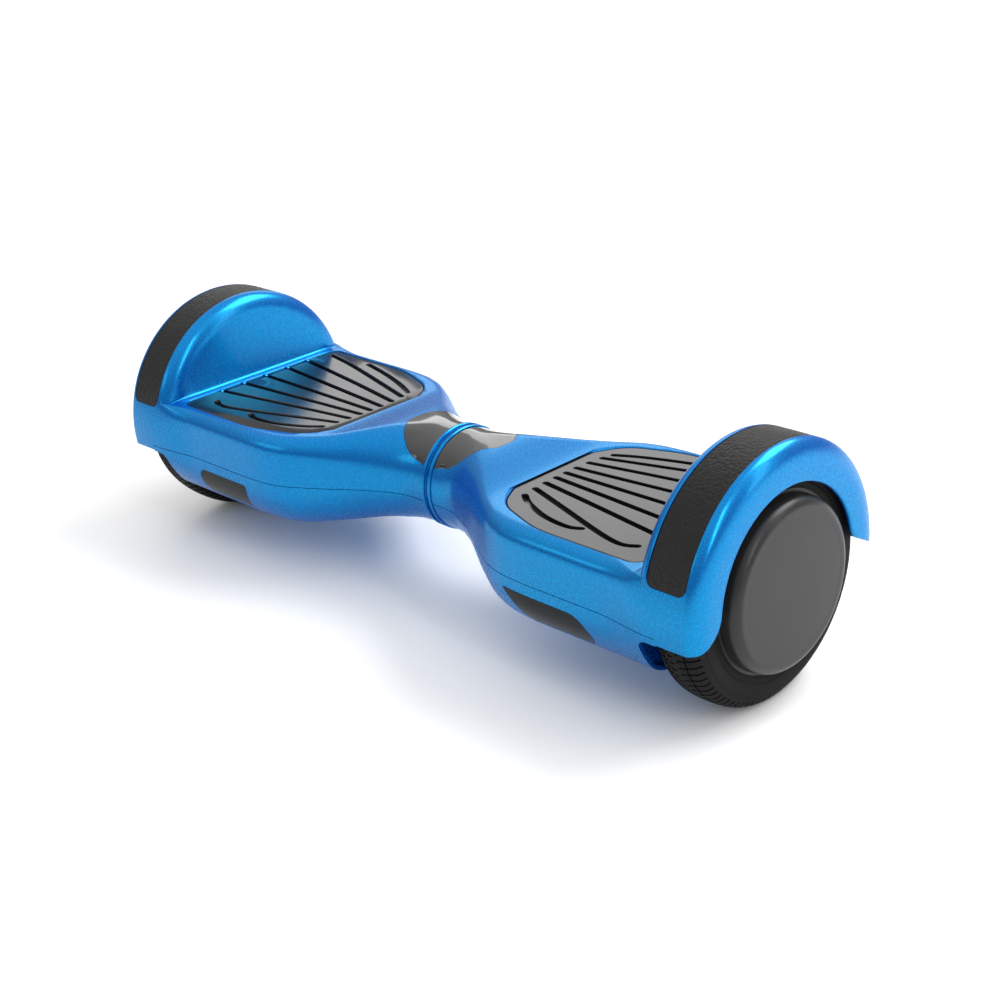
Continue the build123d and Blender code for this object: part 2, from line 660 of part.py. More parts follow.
def cover_screws():
    """Long screws from the bottom cover into the top cover's posts."""
    head_top = COVER_HEAD_Z + COVER_HEAD_H
    with BuildPart() as screws:
        for x, y in cover_screw_places():
            add(upright(x, y, COVER_HEAD_R, COVER_HEAD_Z, head_top))
            add(upright(x, y, COVER_SCREW_R, head_top, PLATE_Z + COVER_SCREW_BITE))
    return screws.part


def fender_strip():
    """Rubber bumper strip over the fender."""
    return strip_ring(STRIP_SEAT_R + FIT, GAP)


def axle():
    """Fixed steel axle, hollow at its inner end for the motor's lead."""
    hollow_end = STATOR_X - STATOR_HALF_W
    return turned([
        (SADDLE_X, LEAD_R + GAP), (hollow_end, LEAD_R + GAP), (hollow_end, 0), (AXLE_END_X, 0),
        (AXLE_END_X, AXLE_R), (SADDLE_X, AXLE_R),
    ])


def motor_lead():
    """Motor lead with its connector, entering the axle's inner end."""
    plug_x = SADDLE_X - LEAD_L
    with BuildPart() as lead:
        add(sideways(plug_x, SADDLE_X + LEAD_IN_AXLE, 0, AXLE_Z, LEAD_R))
        add(block(plug_x - LEAD_L / 2, plug_x, -2 * LEAD_R, 2 * LEAD_R, PLATE_Z + GAP, AXLE_Z + LEAD_R))
    return lead.part


def stator():
    """Laminated core: hub, yoke and toothed poles with shoes."""
    low_x = STATOR_X - STATOR_HALF_W
    high_x = STATOR_X + STATOR_HALF_W
    with BuildPart() as core:
        with BuildSketch(ALONG_X.offset(low_x)):
            with Locations((0, AXLE_Z)):
                Circle(STATOR_R)
                Circle(STATOR_R - SHOE_T, mode=Mode.SUBTRACT)
                Circle(YOKE_R)
                with PolarLocations((YOKE_R + STATOR_R) / 2 - SHOE_T / 2, POLES):
                    Rectangle(STATOR_R - YOKE_R, TOOTH_W)
                with PolarLocations(STATOR_R, POLES, start_angle=180 / POLES):
                    Rectangle(4 * SHOE_T, SLOT_W, mode=Mode.SUBTRACT)
                Circle(YOKE_BORE_R, mode=Mode.SUBTRACT)
        extrude(amount=high_x - low_x)
        add(barrel(STATOR_X - STATOR_HALF_W / 2, STATOR_X + STATOR_HALF_W / 2, YOKE_BORE_R + 1, AXLE_R + FIT))
    return core.part


def windings():
    """Copper coils, one round each tooth."""
    reach = STATOR_HALF_W + COIL_CLEAR + COIL_T
    width = TOOTH_W + 2 * COIL_CLEAR
    inner_r = YOKE_R + 2 * COIL_T
    outer_r = STATOR_R - SHOE_T - COIL_T / 2
    middle = (inner_r + outer_r) / 2
    with BuildPart() as coils:
        with BuildSketch(ALONG_X.offset(STATOR_X - reach)):
            with Locations((0, AXLE_Z)):
                with PolarLocations(middle, POLES):
                    Rectangle(outer_r - inner_r, width + 2 * COIL_T)
        extrude(amount=2 * reach)
        with BuildSketch(ALONG_X.offset(STATOR_X - reach + COIL_T)):
            with Locations((0, AXLE_Z)):
                with PolarLocations(middle, POLES):
                    Rectangle(2 * (outer_r - inner_r), width)
        extrude(amount=2 * (reach - COIL_T), mode=Mode.SUBTRACT)
    return coils.part


def magnets():
    """Ring of separate magnets inside the drum."""
    low_x = STATOR_X - STATOR_HALF_W - COIL_T
    high_x = STATOR_X + STATOR_HALF_W + COIL_T
    with BuildPart() as ring:
        with BuildSketch(ALONG_X.offset(low_x)):
            with Locations((0, AXLE_Z)):
                Circle(DRUM_BORE_R - FIT)
                Circle(MAGNET_R, mode=Mode.SUBTRACT)
                with PolarLocations(MAGNET_R, MAGNETS):
                    Rectangle(4 * MAGNET_T, AIR_GAP, mode=Mode.SUBTRACT)
        extrude(amount=high_x - low_x)
    return ring.part


def motor_drum():
    """Turning drum that carries the tyre, with its outer plate and bearing seat."""
    plate_x = DRUM_OUT_X - PLATE_T
    seat_x = plate_x - BEARING_W
    return turned([
        (DRUM_IN_X, DRUM_BORE_R), (plate_x, DRUM_BORE_R), (plate_x, BEARING_R + BEARING_LIP),
        (seat_x, BEARING_R + BEARING_LIP), (seat_x, BEARING_R), (DRUM_OUT_X, BEARING_R), (DRUM_OUT_X, RIM_R),
        (DRUM_IN_X, RIM_R),
    ])


def motor_cover():
    """Inner end cover of the motor, with its bearing seat."""
    return turned([
        (MOTOR_COVER_X, BEARING_R), (DRUM_IN_X + BEARING_W, BEARING_R),
        (DRUM_IN_X + BEARING_W, BEARING_R + BEARING_LIP), (DRUM_IN_X, BEARING_R + BEARING_LIP),
        (DRUM_IN_X, RIM_R - 1), (MOTOR_COVER_X, RIM_R - 1),
    ])


def wheel_bearings():
    """Two closed ball bearings, each one ring."""
    plate_x = DRUM_OUT_X - PLATE_T
    with BuildPart() as bearings:
        add(barrel(DRUM_IN_X, DRUM_IN_X + BEARING_W, BEARING_R - FIT, AXLE_R + FIT))
        add(barrel(plate_x - BEARING_W, plate_x, BEARING_R - FIT, AXLE_R + FIT))
    return bearings.part


def tyre():
    """Solid rubber tyre on the drum."""
    middle = (TYRE_IN_X + TYRE_OUT_X) / 2
    half = (TYRE_OUT_X - TYRE_IN_X) / 2
    crest = TYRE_CREST_W / 2
    height = TYRE_R - RIM_R
    right = [(half - 2, 0.1), (half, 0.25 * height), (half, 0.66 * height), (0.8 * half, 0.93 * height),
             (crest, height)]
    left = [(-x, r) for x, r in reversed(right)]
    return turned([(middle + x, RIM_R + r) for x, r in right + left])


def hub_cap():
    """Dished plastic cap over the outside of the motor."""
    face = CAP_FACE_X
    seat = DRUM_OUT_X + GAP
    r = HUB_CAP_R
    rnd = HUB_CAP_ROUND
    t = HUB_CAP_T
    return turned([
        (seat, r), (face - rnd, r), (face - 0.35 * rnd, r - 0.3 * rnd), (face - 0.1 * rnd, r - rnd),
        (face, 0.6 * r), (face, 0), (face - t, 0), (face - t, 0.6 * r), (face - 0.1 * rnd - t, r - rnd - t / 2),
        (face - rnd, r - t), (seat, r - t),
    ])


def pivot_tube():
    """Central tube: fixed in the left chassis, turning in the right one's bushes."""
    groove_x = NECK_BOSS_END_X + GAP
    with BuildPart() as tube:
        add(barrel(-NECK_BOSS_END_X, TUBE_END_X, TUBE_R, TUBE_BORE_R))
        add(barrel(groove_x, groove_x + CIRCLIP_T + FIT, TUBE_R + 1, TUBE_R - CIRCLIP_DEPTH), mode=Mode.SUBTRACT)
    return tube.part


def pivot_bushes():
    """Two plain bushes in the right chassis."""
    with BuildPart() as bushes:
        for x in (NECK_BOSS_X, NECK_BOSS_END_X - BUSH_W):
            add(barrel(x, x + BUSH_W, TUBE_R + BUSH_T, TUBE_R + FIT))
    return bushes.part


def pivot_circlip():
    """Open ring that keeps the tube in the right chassis."""
    low_x = NECK_BOSS_END_X + GAP + FIT / 2
    with BuildPart() as clip:
        add(barrel(low_x, low_x + CIRCLIP_T, CIRCLIP_R, TUBE_R - CIRCLIP_DEPTH + FIT))
        add(block(0, BIG, -CIRCLIP_MOUTH / 2, CIRCLIP_MOUTH / 2, 0, AXLE_Z), mode=Mode.SUBTRACT)
    return clip.part


def centre_cable():
    """Lead between the halves, lying inside the tube."""
    return sideways(-NECK_BOSS_END_X - CABLE_OUT, TUBE_END_X + CABLE_OUT, 0,
                    AXLE_Z - TUBE_BORE_R + CABLE_R + GAP, CABLE_R)


def battery_pack():
    """Battery pack on the left bottom cover's cradle ribs."""
    with BuildPart() as pack:
        add(block(-BATTERY_X - BATTERY_L, -BATTERY_X, -BATTERY_HALF_DEPTH, BATTERY_HALF_DEPTH,
                  CRADLE_Z, PLATE_UNDER_Z - GAP))
        fillet(pack.edges().filter_by(Axis.X), 4)
    return pack.part


def main_board():
    """Control board on the right bottom cover's cradle ribs, with heat sink and capacitors."""
    top = CRADLE_Z + BOARD_T
    sink_x = BOARD_X + (BOARD_L - HEATSINK_L) / 2
    with BuildPart() as board:
        add(block(BOARD_X, BOARD_X + BOARD_L, -BOARD_HALF_DEPTH, BOARD_HALF_DEPTH, CRADLE_Z, top))
        add(block(sink_x, sink_x + HEATSINK_L, -BOARD_HALF_DEPTH / 2, 0, top, top + HEATSINK_H))
        for i in range(3):
            x = sink_x + (i + 0.5) * HEATSINK_L / 3
            add(upright(x, BOARD_HALF_DEPTH / 2, CAPACITOR_R, top, top + CAPACITOR_H))
    return board.part


def charging_socket():
    """Three pin charging socket behind the flap."""
    face_y = BOSS_FACE_Y
    with BuildPart() as socket:
        add(rearward(SOCKET_X, PORT_Z, SOCKET_R, face_y - SOCKET_L, face_y))
        add(rearward(SOCKET_X, PORT_Z, SOCKET_FLANGE_R, FLANGE_FACE_Y - BUTTON_FLANGE_T, FLANGE_FACE_Y))
        add(rearward(SOCKET_X, PORT_Z, SOCKET_BORE_R, face_y - SOCKET_BORE_L, face_y), mode=Mode.SUBTRACT)
        with BuildSketch(ACROSS_Y.offset(SOCKET_BORE_L - face_y)):
            with Locations((SOCKET_X, PORT_Z)):
                with PolarLocations(SOCKET_PIN_PITCH_R, 3, start_angle=90):
                    Circle(SOCKET_PIN_R)
        extrude(amount=-SOCKET_PIN_L)
    return socket.part


def socket_flap():
    """Hinged cap over the charging socket."""
    with BuildPart() as flap:
        add(rearward(SOCKET_X, PORT_Z, FLAP_R, FLAP_Y, FLAP_Y + FLAP_T))
        add(block(SOCKET_X - KNUCKLE_HALF_W, SOCKET_X + KNUCKLE_HALF_W, FLAP_Y, FLAP_Y + FLAP_T,
                  HINGE_Z, PORT_Z - FLAP_R / 2))
        add(sideways(SOCKET_X - KNUCKLE_HALF_W, SOCKET_X + KNUCKLE_HALF_W, HINGE_Y, HINGE_Z, KNUCKLE_R))
        add(sideways(SOCKET_X - BOSS_R, SOCKET_X + BOSS_R, HINGE_Y, HINGE_Z, HINGE_PIN_R + FIT),
            mode=Mode.SUBTRACT)
    return flap.part


def flap_pin():
    """Pin of the flap's hinge."""
    reach = KNUCKLE_HALF_W + GAP + EAR_W
    return sideways(SOCKET_X - reach, SOCKET_X + reach, HINGE_Y, HINGE_Z, HINGE_PIN_R)


def power_button():
    """Sprung power button with a flange behind the cover."""
    with BuildPart() as button:
        add(rearward(BUTTON_X, PORT_Z, BUTTON_R, FLANGE_FACE_Y, BOSS_FACE_Y + BUTTON_PROUD))
        add(rearward(BUTTON_X, PORT_Z, BUTTON_FLANGE_R, BUTTON_BACK_Y, FLANGE_FACE_Y))
        fillet(button.edges().filter_by(GeomType.CIRCLE).sort_by(Axis.Y)[-1], 0.8)
    return button.part


def power_switch():
    """Switch behind the button, on its stand."""
    return block(BUTTON_X - SWITCH_HALF_W, BUTTON_X + SWITCH_HALF_W, SWITCH_FACE_Y - SWITCH_L, SWITCH_FACE_Y,
                 PORT_Z - SWITCH_HALF_W, PORT_Z + SWITCH_HALF_W)


def main():
    """Build every piece and write it."""
    os.makedirs("parts", exist_ok=True)
    pairs = [
        top_cover, collar, display_window, light_lens, light_board, foot_pad, pressure_pins, gyro_board,
        axle_clamp, clamp_screws, cover_screws, fender_strip, axle, motor_lead, stator, windings, magnets,
        motor_drum, motor_cover, wheel_bearings, tyre, hub_cap,
    ]
    for make in pairs:
        save_pair(make(), make.__name__)
    singles = [
        pivot_tube, pivot_bushes, pivot_circlip, centre_cable, battery_pack, main_board, charging_socket,
        socket_flap, flap_pin, power_button, power_switch,
    ]
    for make in singles:
        save(make(), make.__name__)
    # the two halves differ in their neck bores, and only the right one has the ports
    save(chassis(TUBE_R + BUSH_T), "right_chassis")
    save(bottom_cover(True), "right_bottom_cover")
    with BuildPart() as left_chassis:
        mirror(chassis(TUBE_R + FIT), about=Plane.YZ)
    save(left_chassis.part, "left_chassis")
    with BuildPart() as left_bottom_cover:
        mirror(bottom_cover(False), about=Plane.YZ)
    save(left_bottom_cover.part, "left_bottom_cover")


main()
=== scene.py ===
"""Looks of a self balancing hoverboard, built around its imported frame.

Every piece is modelled at its place in the frame, in metres, on the right half (+X) and mirrored
to the left. The front, with the lights, faces -Y.
"""

from __future__ import annotations

import json
import logging
import math
from dataclasses import dataclass, field
from enum import Enum
from typing import Callable, Sequence

import bpy
from mathutils import Matrix, Vector

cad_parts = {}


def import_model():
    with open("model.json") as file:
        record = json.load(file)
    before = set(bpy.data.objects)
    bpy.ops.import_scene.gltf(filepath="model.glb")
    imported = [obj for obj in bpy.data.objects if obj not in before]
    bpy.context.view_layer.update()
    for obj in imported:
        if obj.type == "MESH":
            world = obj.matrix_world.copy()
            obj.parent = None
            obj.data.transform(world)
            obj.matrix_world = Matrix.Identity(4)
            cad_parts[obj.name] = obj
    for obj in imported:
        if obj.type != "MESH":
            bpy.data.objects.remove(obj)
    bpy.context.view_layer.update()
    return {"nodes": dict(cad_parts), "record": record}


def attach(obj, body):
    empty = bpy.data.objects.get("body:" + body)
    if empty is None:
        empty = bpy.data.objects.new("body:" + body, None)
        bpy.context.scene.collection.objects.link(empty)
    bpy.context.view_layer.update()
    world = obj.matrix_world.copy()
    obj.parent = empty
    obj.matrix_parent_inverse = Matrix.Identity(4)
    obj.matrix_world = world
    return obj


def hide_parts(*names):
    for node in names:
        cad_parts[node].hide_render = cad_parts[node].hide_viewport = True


LOG = logging.getLogger("hoverboard")
MM = 0.001
SAME_PLACE = 1e-6
Point2 = tuple[float, float]
Triple = tuple[float, float, float]
Placer = Callable[[float, float, float], "Vector"]


class Side(Enum):
    """The two halves of the board."""

    RIGHT = "right"
    LEFT = "left"


class Cut(Enum):
    """What a boolean does with its tool."""

    AWAY = "DIFFERENCE"
    JOIN = "UNION"
    KEEP = "INTERSECT"


# ---------------------------------------------------------------------------
# modelling tools
# ---------------------------------------------------------------------------


def arc_points(centre: Point2, radius: Point2, start: float, end: float, steps: int) -> list[Point2]:
    """Points along an elliptical arc.

    Args:
        centre: middle of the ellipse.
        radius: its two half axes.
        start: first angle in degrees.
        end: last angle in degrees.
        steps: number of pieces of the arc.

    Returns:
        The points, both ends among them.
    """
    angles = [math.radians(start + (end - start) * i / steps) for i in range(steps + 1)]
    return [(centre[0] + radius[0] * math.cos(a), centre[1] + radius[1] * math.sin(a)) for a in angles]


def rounded(corners: Sequence[Triple], steps: int = 6) -> list[Point2]:
    """Outline of a polygon with rounded corners.

    Args:
        corners: each corner's two coordinates and its radius.
        steps: pieces in each rounding.

    Returns:
        The outline's points in order.
    """
    points: list[Point2] = []
    count = len(corners)
    for i, (x, y, r) in enumerate(corners):
        here = Vector((x, y))
        before = (Vector(corners[i - 1][:2]) - here).normalized()
        after = (Vector(corners[(i + 1) % count][:2]) - here).normalized()
        half = before.angle(after) / 2
        if r <= 0 or half > math.radians(89):
            points.append((x, y))
            continue
        reach = r / math.tan(half)
        centre = here + (before + after).normalized() * (r / math.sin(half))
        first = here + before * reach - centre
        last = here + after * reach - centre
        turn = first.angle_signed(last)
        for k in range(steps + 1):
            spoke = first.copy()
            spoke.rotate(Matrix.Rotation(-turn * k / steps, 2))
            points.append(tuple(centre + spoke))
    return points


def ramped(value: float, low: float, high: float) -> float:
    """How far a value is from low to high, from 0 to 1."""
    return min(max((value - low) / (high - low), 0.0), 1.0)


def smooth_between(xs: Sequence[float], ys: Sequence[float], x: float) -> float:
    """A curve through stations that never overshoots them.

    Args:
        xs: station places, rising.
        ys: values at the stations.
        x: where the value is wanted.

    Returns:
        The value there, held at its end values outside the stations.
    """
    if x <= xs[0]:
        return ys[0]
    if x >= xs[-1]:
        return ys[-1]
    rise = [(ys[i + 1] - ys[i]) / (xs[i + 1] - xs[i]) for i in range(len(xs) - 1)]
    slope = [0.0] * len(xs)
    for i in range(1, len(xs) - 1):
        if rise[i - 1] * rise[i] > 0:
            slope[i] = 2 * rise[i - 1] * rise[i] / (rise[i - 1] + rise[i])
    i = max(k for k in range(len(xs) - 1) if xs[k] <= x)
    span = xs[i + 1] - xs[i]
    t = (x - xs[i]) / span
    start = (1 + 2 * t) * (1 - t) ** 2 * ys[i] + t * (1 - t) ** 2 * span * slope[i]
    return start + t * t * (3 - 2 * t) * ys[i + 1] + t * t * (t - 1) * span * slope[i + 1]


class Piece:
    """One mesh being modelled, in millimetres at its place, kept in metres."""

    def __init__(self, name: str) -> None:
        """Takes the active object, just made, as this piece."""
        self.obj: bpy.types.Object = bpy.context.object
        self.obj.name = name
        self.obj.data.name = name

    # ---- making ----

    @staticmethod
    def clear_selection() -> None:
        """Leaves nothing selected and no mode open."""
        if bpy.context.object and bpy.context.object.mode != "OBJECT":
            bpy.ops.object.mode_set(mode="OBJECT")
        bpy.ops.object.select_all(action="DESELECT")

    @classmethod
    def chain(cls, name: str, points: Sequence[Vector], closed: bool = True) -> Piece:
        """A ring or an open line of edges, from a primitive circle.

        Args:
            name: the piece's name.
            points: places in millimetres.
            closed: False leaves out the edge between the last point and the first.

        Returns:
            The new piece.
        """
        cls.clear_selection()
        bpy.ops.mesh.primitive_circle_add(vertices=len(points), radius=1, fill_type="NOTHING")
        piece = cls(name)
        for vertex, point in zip(piece.obj.data.vertices, points):
            vertex.co = Vector(point) * MM
        if not closed:
            ends = {0, len(points) - 1}
            for edge in piece.obj.data.edges:
                edge.select = set(edge.vertices) == ends
            for vertex in piece.obj.data.vertices:
                vertex.select = False
            piece.edit("EDGE")
            bpy.ops.mesh.delete(type="EDGE")
            piece.leave()
        return piece

    @classmethod
    def prism(cls, name: str, outline: Sequence[Point2], place: Placer,
              low: float, high: float) -> Piece:
        """A flat outline extruded between two levels.

        Args:
            name: the piece's name.
            outline: the outline's points.
            place: puts outline coordinates and a level into space.
            low: first level.
            high: second level.

        Returns:
            The new closed piece.
        """
        piece = cls.chain(name, [place(a, b, low) for a, b in outline])
        piece.edit("EDGE")
        bpy.ops.mesh.select_all(action="SELECT")
        bpy.ops.mesh.edge_face_add()
        step = (place(0, 0, high) - place(0, 0, low)) * MM
        bpy.ops.mesh.extrude_region_move(TRANSFORM_OT_translate={"value": step})
        piece.recalculate()
        piece.leave()
        return piece

    @classmethod
    def spun(cls, name: str, profile: Sequence[Point2], axle: float, steps: int = 96,
             closed: bool = True) -> Piece:
        """A profile turned about the axle line.

        Args:
            name: the piece's name.
            profile: points as (x, radius).
            axle: height of the axle line.
            steps: pieces in the full turn.
            closed: False when both ends of the profile lie on the axle line.

        Returns:
            The new closed piece.
        """
        piece = cls.chain(name, [Vector((x, 0, axle + r)) for x, r in profile], closed)
        piece.edit("VERT")
        bpy.ops.mesh.select_all(action="SELECT")
        bpy.ops.mesh.spin(steps=steps, angle=math.tau, center=(0, 0, axle * MM), axis=(1, 0, 0))
        bpy.ops.mesh.select_all(action="SELECT")
        bpy.ops.mesh.remove_doubles(threshold=SAME_PLACE)
        piece.recalculate()
        piece.leave()
        return piece

    @classmethod
    def wrapped(cls, name: str, columns: int, rows: int, place: Callable[[int, int], Vector]) -> Piece:
        """A primitive grid laid round a form, joined at its seam and closed at both ends.

        Args:
            name: the piece's name.
            columns: faces around.
            rows: faces along.
            place: gives each vertex's place from its column and row.

        Returns:
            The new piece.
        """
        cls.clear_selection()
        bpy.ops.mesh.primitive_grid_add(x_subdivisions=columns, y_subdivisions=rows, size=1)
        piece = cls(name)
        for vertex in piece.obj.data.vertices:
            column = round((vertex.co.x + 0.5) * columns)
            row = round((vertex.co.y + 0.5) * rows)
            vertex.co = place(column, row) * MM
        piece.edit("VERT")
        bpy.ops.mesh.select_all(action="SELECT")
        bpy.ops.mesh.remove_doubles(threshold=SAME_PLACE)
        bpy.ops.mesh.fill_holes(sides=0)
        piece.recalculate()
        piece.leave()
        return piece

    # ---- editing ----

    def take(self) -> None:
        """Makes this the only selected and active object."""
        self.clear_selection()
        self.obj.select_set(True)
        bpy.context.view_layer.objects.active = self.obj

    def edit(self, kind: str) -> None:
        """Opens edit mode on this piece, picking vertices, edges or faces."""
        self.take()
        bpy.ops.object.mode_set(mode="EDIT")
        bpy.ops.mesh.select_mode(type=kind)

    def leave(self) -> None:
        """Closes edit mode."""
        bpy.ops.object.mode_set(mode="OBJECT")

    @staticmethod
    def recalculate() -> None:
        """Turns all faces outwards, in edit mode."""
        bpy.ops.mesh.select_all(action="SELECT")
        bpy.ops.mesh.normals_make_consistent(inside=False)

    def modify(self, kind: str, **settings: object) -> Piece:
        """Adds a modifier and applies it.

        Args:
            kind: the modifier's type.
            settings: its properties.

        Returns:
            This piece.
        """
        self.take()
        modifier = self.obj.modifiers.new(kind.lower(), kind)
        for key, value in settings.items():
            setattr(modifier, key, value)
        bpy.ops.object.modifier_apply(modifier=modifier.name)
        return self

    def carve(self, *tools: Piece, how: Cut = Cut.AWAY) -> Piece:
        """Cuts, joins or keeps with other closed pieces, which are used up.

        Args:
            tools: the pieces to cut with.
            how: what the cut does.

        Returns:
            This piece.

        Raises:
            RuntimeError: if nothing is left, as after a cut with a tool that crosses itself.
        """
        for tool in tools:
            self.modify("BOOLEAN", operation=how.value, object=tool.obj, solver="EXACT")
            if not self.obj.data.polygons:
                raise RuntimeError(f"{self.obj.name} is empty after the cut by {tool.obj.name}")
            bpy.data.objects.remove(tool.obj, do_unlink=True)
        return self

    def join(self, *others: Piece) -> Piece:
        """Merges other pieces into this one's mesh."""
        self.take()
        for other in others:
            other.obj.select_set(True)
        bpy.ops.object.join()
        return self

    def copy(self, name: str) -> Piece:
        """A copy with its own mesh."""
        self.take()
        bpy.ops.object.duplicate()
        return Piece(name)

    def mirrored(self, name: str) -> Piece:
        """The left half's twin of this piece."""
        twin = self.copy(name)
        twin.obj.data.transform(Matrix.Scale(-1, 4, (1, 0, 0)))
        twin.edit("FACE")
        bpy.ops.mesh.select_all(action="SELECT")
        bpy.ops.mesh.flip_normals()
        twin.leave()
        return twin

    def smooth_shade(self, angle: float = 35) -> Piece:
        """Smooth shading, kept sharp at edges over an angle, with normals weighted by area."""
        self.take()
        bpy.ops.object.shade_smooth_by_angle(angle=math.radians(angle))
        return self.modify("WEIGHTED_NORMAL", keep_sharp=True)


def upright(x: float, y: float, z: float) -> Vector:
    """Outline in plan, levels along Z."""
    return Vector((x, y, z))


def rearward(x: float, z: float, y: float) -> Vector:
    """Outline in elevation, levels along Y."""
    return Vector((x, y, z))


def sideways(y: float, z: float, x: float) -> Vector:
    """Outline in section, levels along X."""
    return Vector((x, y, z))


def box(name: str, low: Sequence[float], high: Sequence[float]) -> Piece:
    """A block between two corners, to cut with."""
    outline = [(low[0], low[1]), (high[0], low[1]), (high[0], high[1]), (low[0], high[1])]
    return Piece.prism(name, outline, upright, low[2], high[2])


def rod(name: str, centre: Point2, radius: float, place: Placer,
        low: float, high: float, steps: int = 32) -> Piece:
    """A round bar, to cut or join with."""
    return Piece.prism(name, arc_points(centre, (radius, radius), 0, 360 - 360 / steps, steps - 1),
                       place, low, high)


def grown(outline: Sequence[Point2], by: float) -> list[Point2]:
    """An outline pushed outwards everywhere.

    Args:
        outline: a closed outline, anticlockwise or clockwise.
        by: distance, negative to shrink.

    Returns:
        The new outline, with as many points.
    """
    count = len(outline)
    area = sum(outline[i - 1][0] * outline[i][1] - outline[i][0] * outline[i - 1][1] for i in range(count))
    sign = 1.0 if area > 0 else -1.0
    result: list[Point2] = []
    for i, point in enumerate(outline):
        here = Vector(point)
        one = (here - Vector(outline[i - 1])).normalized()
        two = (Vector(outline[(i + 1) % count]) - here).normalized()
        normal = Vector((one.y + two.y, -one.x - two.x)).normalized() * sign
        share = max(normal.dot(Vector((one.y, -one.x)) * sign), 0.5)
        result.append(tuple(here + normal * (by / share)))
    return result


def lofted(name: str, levels: Sequence[tuple[float, Sequence[Point2]]],
           place: Placer) -> Piece:
    """A closed piece through outlines that have equally many points.

    Args:
        name: the piece's name.
        levels: each level and its outline.
        place: puts outline coordinates and a level into space.

    Returns:
        The new closed piece.
    """
    count = len(levels[0][1])
    return Piece.wrapped(name, count, len(levels) - 1,
                         lambda c, r: place(*levels[r][1][c % count], levels[r][0]))


def ribbon(line: Sequence[Point2], width: float, steps: int = 6) -> list[Point2]:
    """Outline of a slot with round ends along a line.

    Args:
        line: the slot's middle line.
        width: its width.
        steps: pieces in each round end.

    Returns:
        The closed outline.
    """
    half = width / 2
    points = [Vector(p) for p in line]
    sides: list[list[Point2]] = [[], []]
    for i, here in enumerate(points):
        run = (points[min(i + 1, len(points) - 1)] - points[max(i - 1, 0)]).normalized()
        sides[0].append(tuple(here + Vector((-run.y, run.x)) * half))
        sides[1].append(tuple(here - Vector((-run.y, run.x)) * half))
    caps: list[list[Point2]] = []
    for end, inner in ((points[-1], points[-2]), (points[0], points[1])):
        run = (end - inner).normalized()
        side = Vector((-run.y, run.x))
        caps.append([tuple(end + (side * math.cos(a) + run * math.sin(a)) * half)
                     for a in (math.pi * k / steps for k in range(1, steps))])
    return sides[0] + caps[0] + sides[1][::-1] + caps[1]


def curve_through(points: Sequence[Point2], steps: int = 6) -> list[Point2]:
    """A smooth line through a few points.

    Args:
        points: points to pass through.
        steps: pieces between two of them.

    Returns:
        The line's points.
    """
    result: list[Point2] = []
    last = len(points) - 1
    for i in range(last):
        a, b, c, d = (Vector(points[min(max(k, 0), last)]) for k in (i - 1, i, i + 1, i + 2))
        for k in range(steps):
            t = k / steps
            result.append(tuple(0.5 * (2 * b + (c - a) * t + (2 * a - 5 * b + 4 * c - d) * t * t
                                       + (3 * b - a - 3 * c + d) * t ** 3)))
    result.append(tuple(points[-1]))
    return result


# ---------------------------------------------------------------------------
# finishes
# ---------------------------------------------------------------------------


class Value:
    """A shader socket that takes part in sums."""

    def __init__(self, graph: Graph, socket: bpy.types.NodeSocket) -> None:
        """Wraps an output socket."""
        self.graph = graph
        self.socket = socket

    def _maths(self, operation: str, one: Value | float, two: Value | float) -> Value:
        """One Math node."""
        return self.graph.node("Math", {"operation": operation}, {0: one, 1: two})

    def __add__(self, other: Value | float) -> Value:
        """Sum."""
        return self._maths("ADD", self, other)

    def __sub__(self, other: Value | float) -> Value:
        """Difference."""
        return self._maths("SUBTRACT", self, other)

    def __rsub__(self, other: float) -> Value:
        """A number less this."""
        return self._maths("SUBTRACT", other, self)

    def __mul__(self, other: Value | float) -> Value:
        """Product."""
        return self._maths("MULTIPLY", self, other)

    __radd__ = __add__
    __rmul__ = __mul__


class Graph:
    """A node tree, being written."""

    def __init__(self, tree: bpy.types.NodeTree) -> None:
        """Starts from an empty tree."""
        self.tree = tree
        self.tree.nodes.clear()

    def node(self, kind: str, settings: dict[str, object], inputs: dict[int | str, object],
             output: int | str = 0) -> Value | None:
        """Adds a node.

        Args:
            kind: its type, without the common first part.
            settings: properties, or a ramp's stops under "stops".
            inputs: values or links of its sockets.
            output: which socket is wanted.

        Returns:
            That output, or None for a node that ends the tree.
        """
        made = self.tree.nodes.new("ShaderNode" + kind)
        for key, value in settings.items():
            if key == "stops":
                self._stops(made.color_ramp, value)
            else:
                setattr(made, key, value)
        for key, value in inputs.items():
            if isinstance(value, Value):
                self.tree.links.new(value.socket, made.inputs[key])
            else:
                made.inputs[key].default_value = value
        return Value(self, made.outputs[output]) if made.outputs else None

    @staticmethod
    def _stops(ramp: bpy.types.ColorRamp, stops: Sequence[tuple[float, float]]) -> None:
        """Sets a ramp's stops from places and grey levels."""
        for i, (place, level) in enumerate(stops):
            element = ramp.elements[i] if i < 2 else ramp.elements.new(place)
            element.position = place
            element.color = (level, level, level, 1)

    def ramp(self, value: Value, *stops: tuple[float, float]) -> Value:
        """A value passed through grey stops."""
        return self.node("ValToRGB", {"stops": stops}, {0: value})


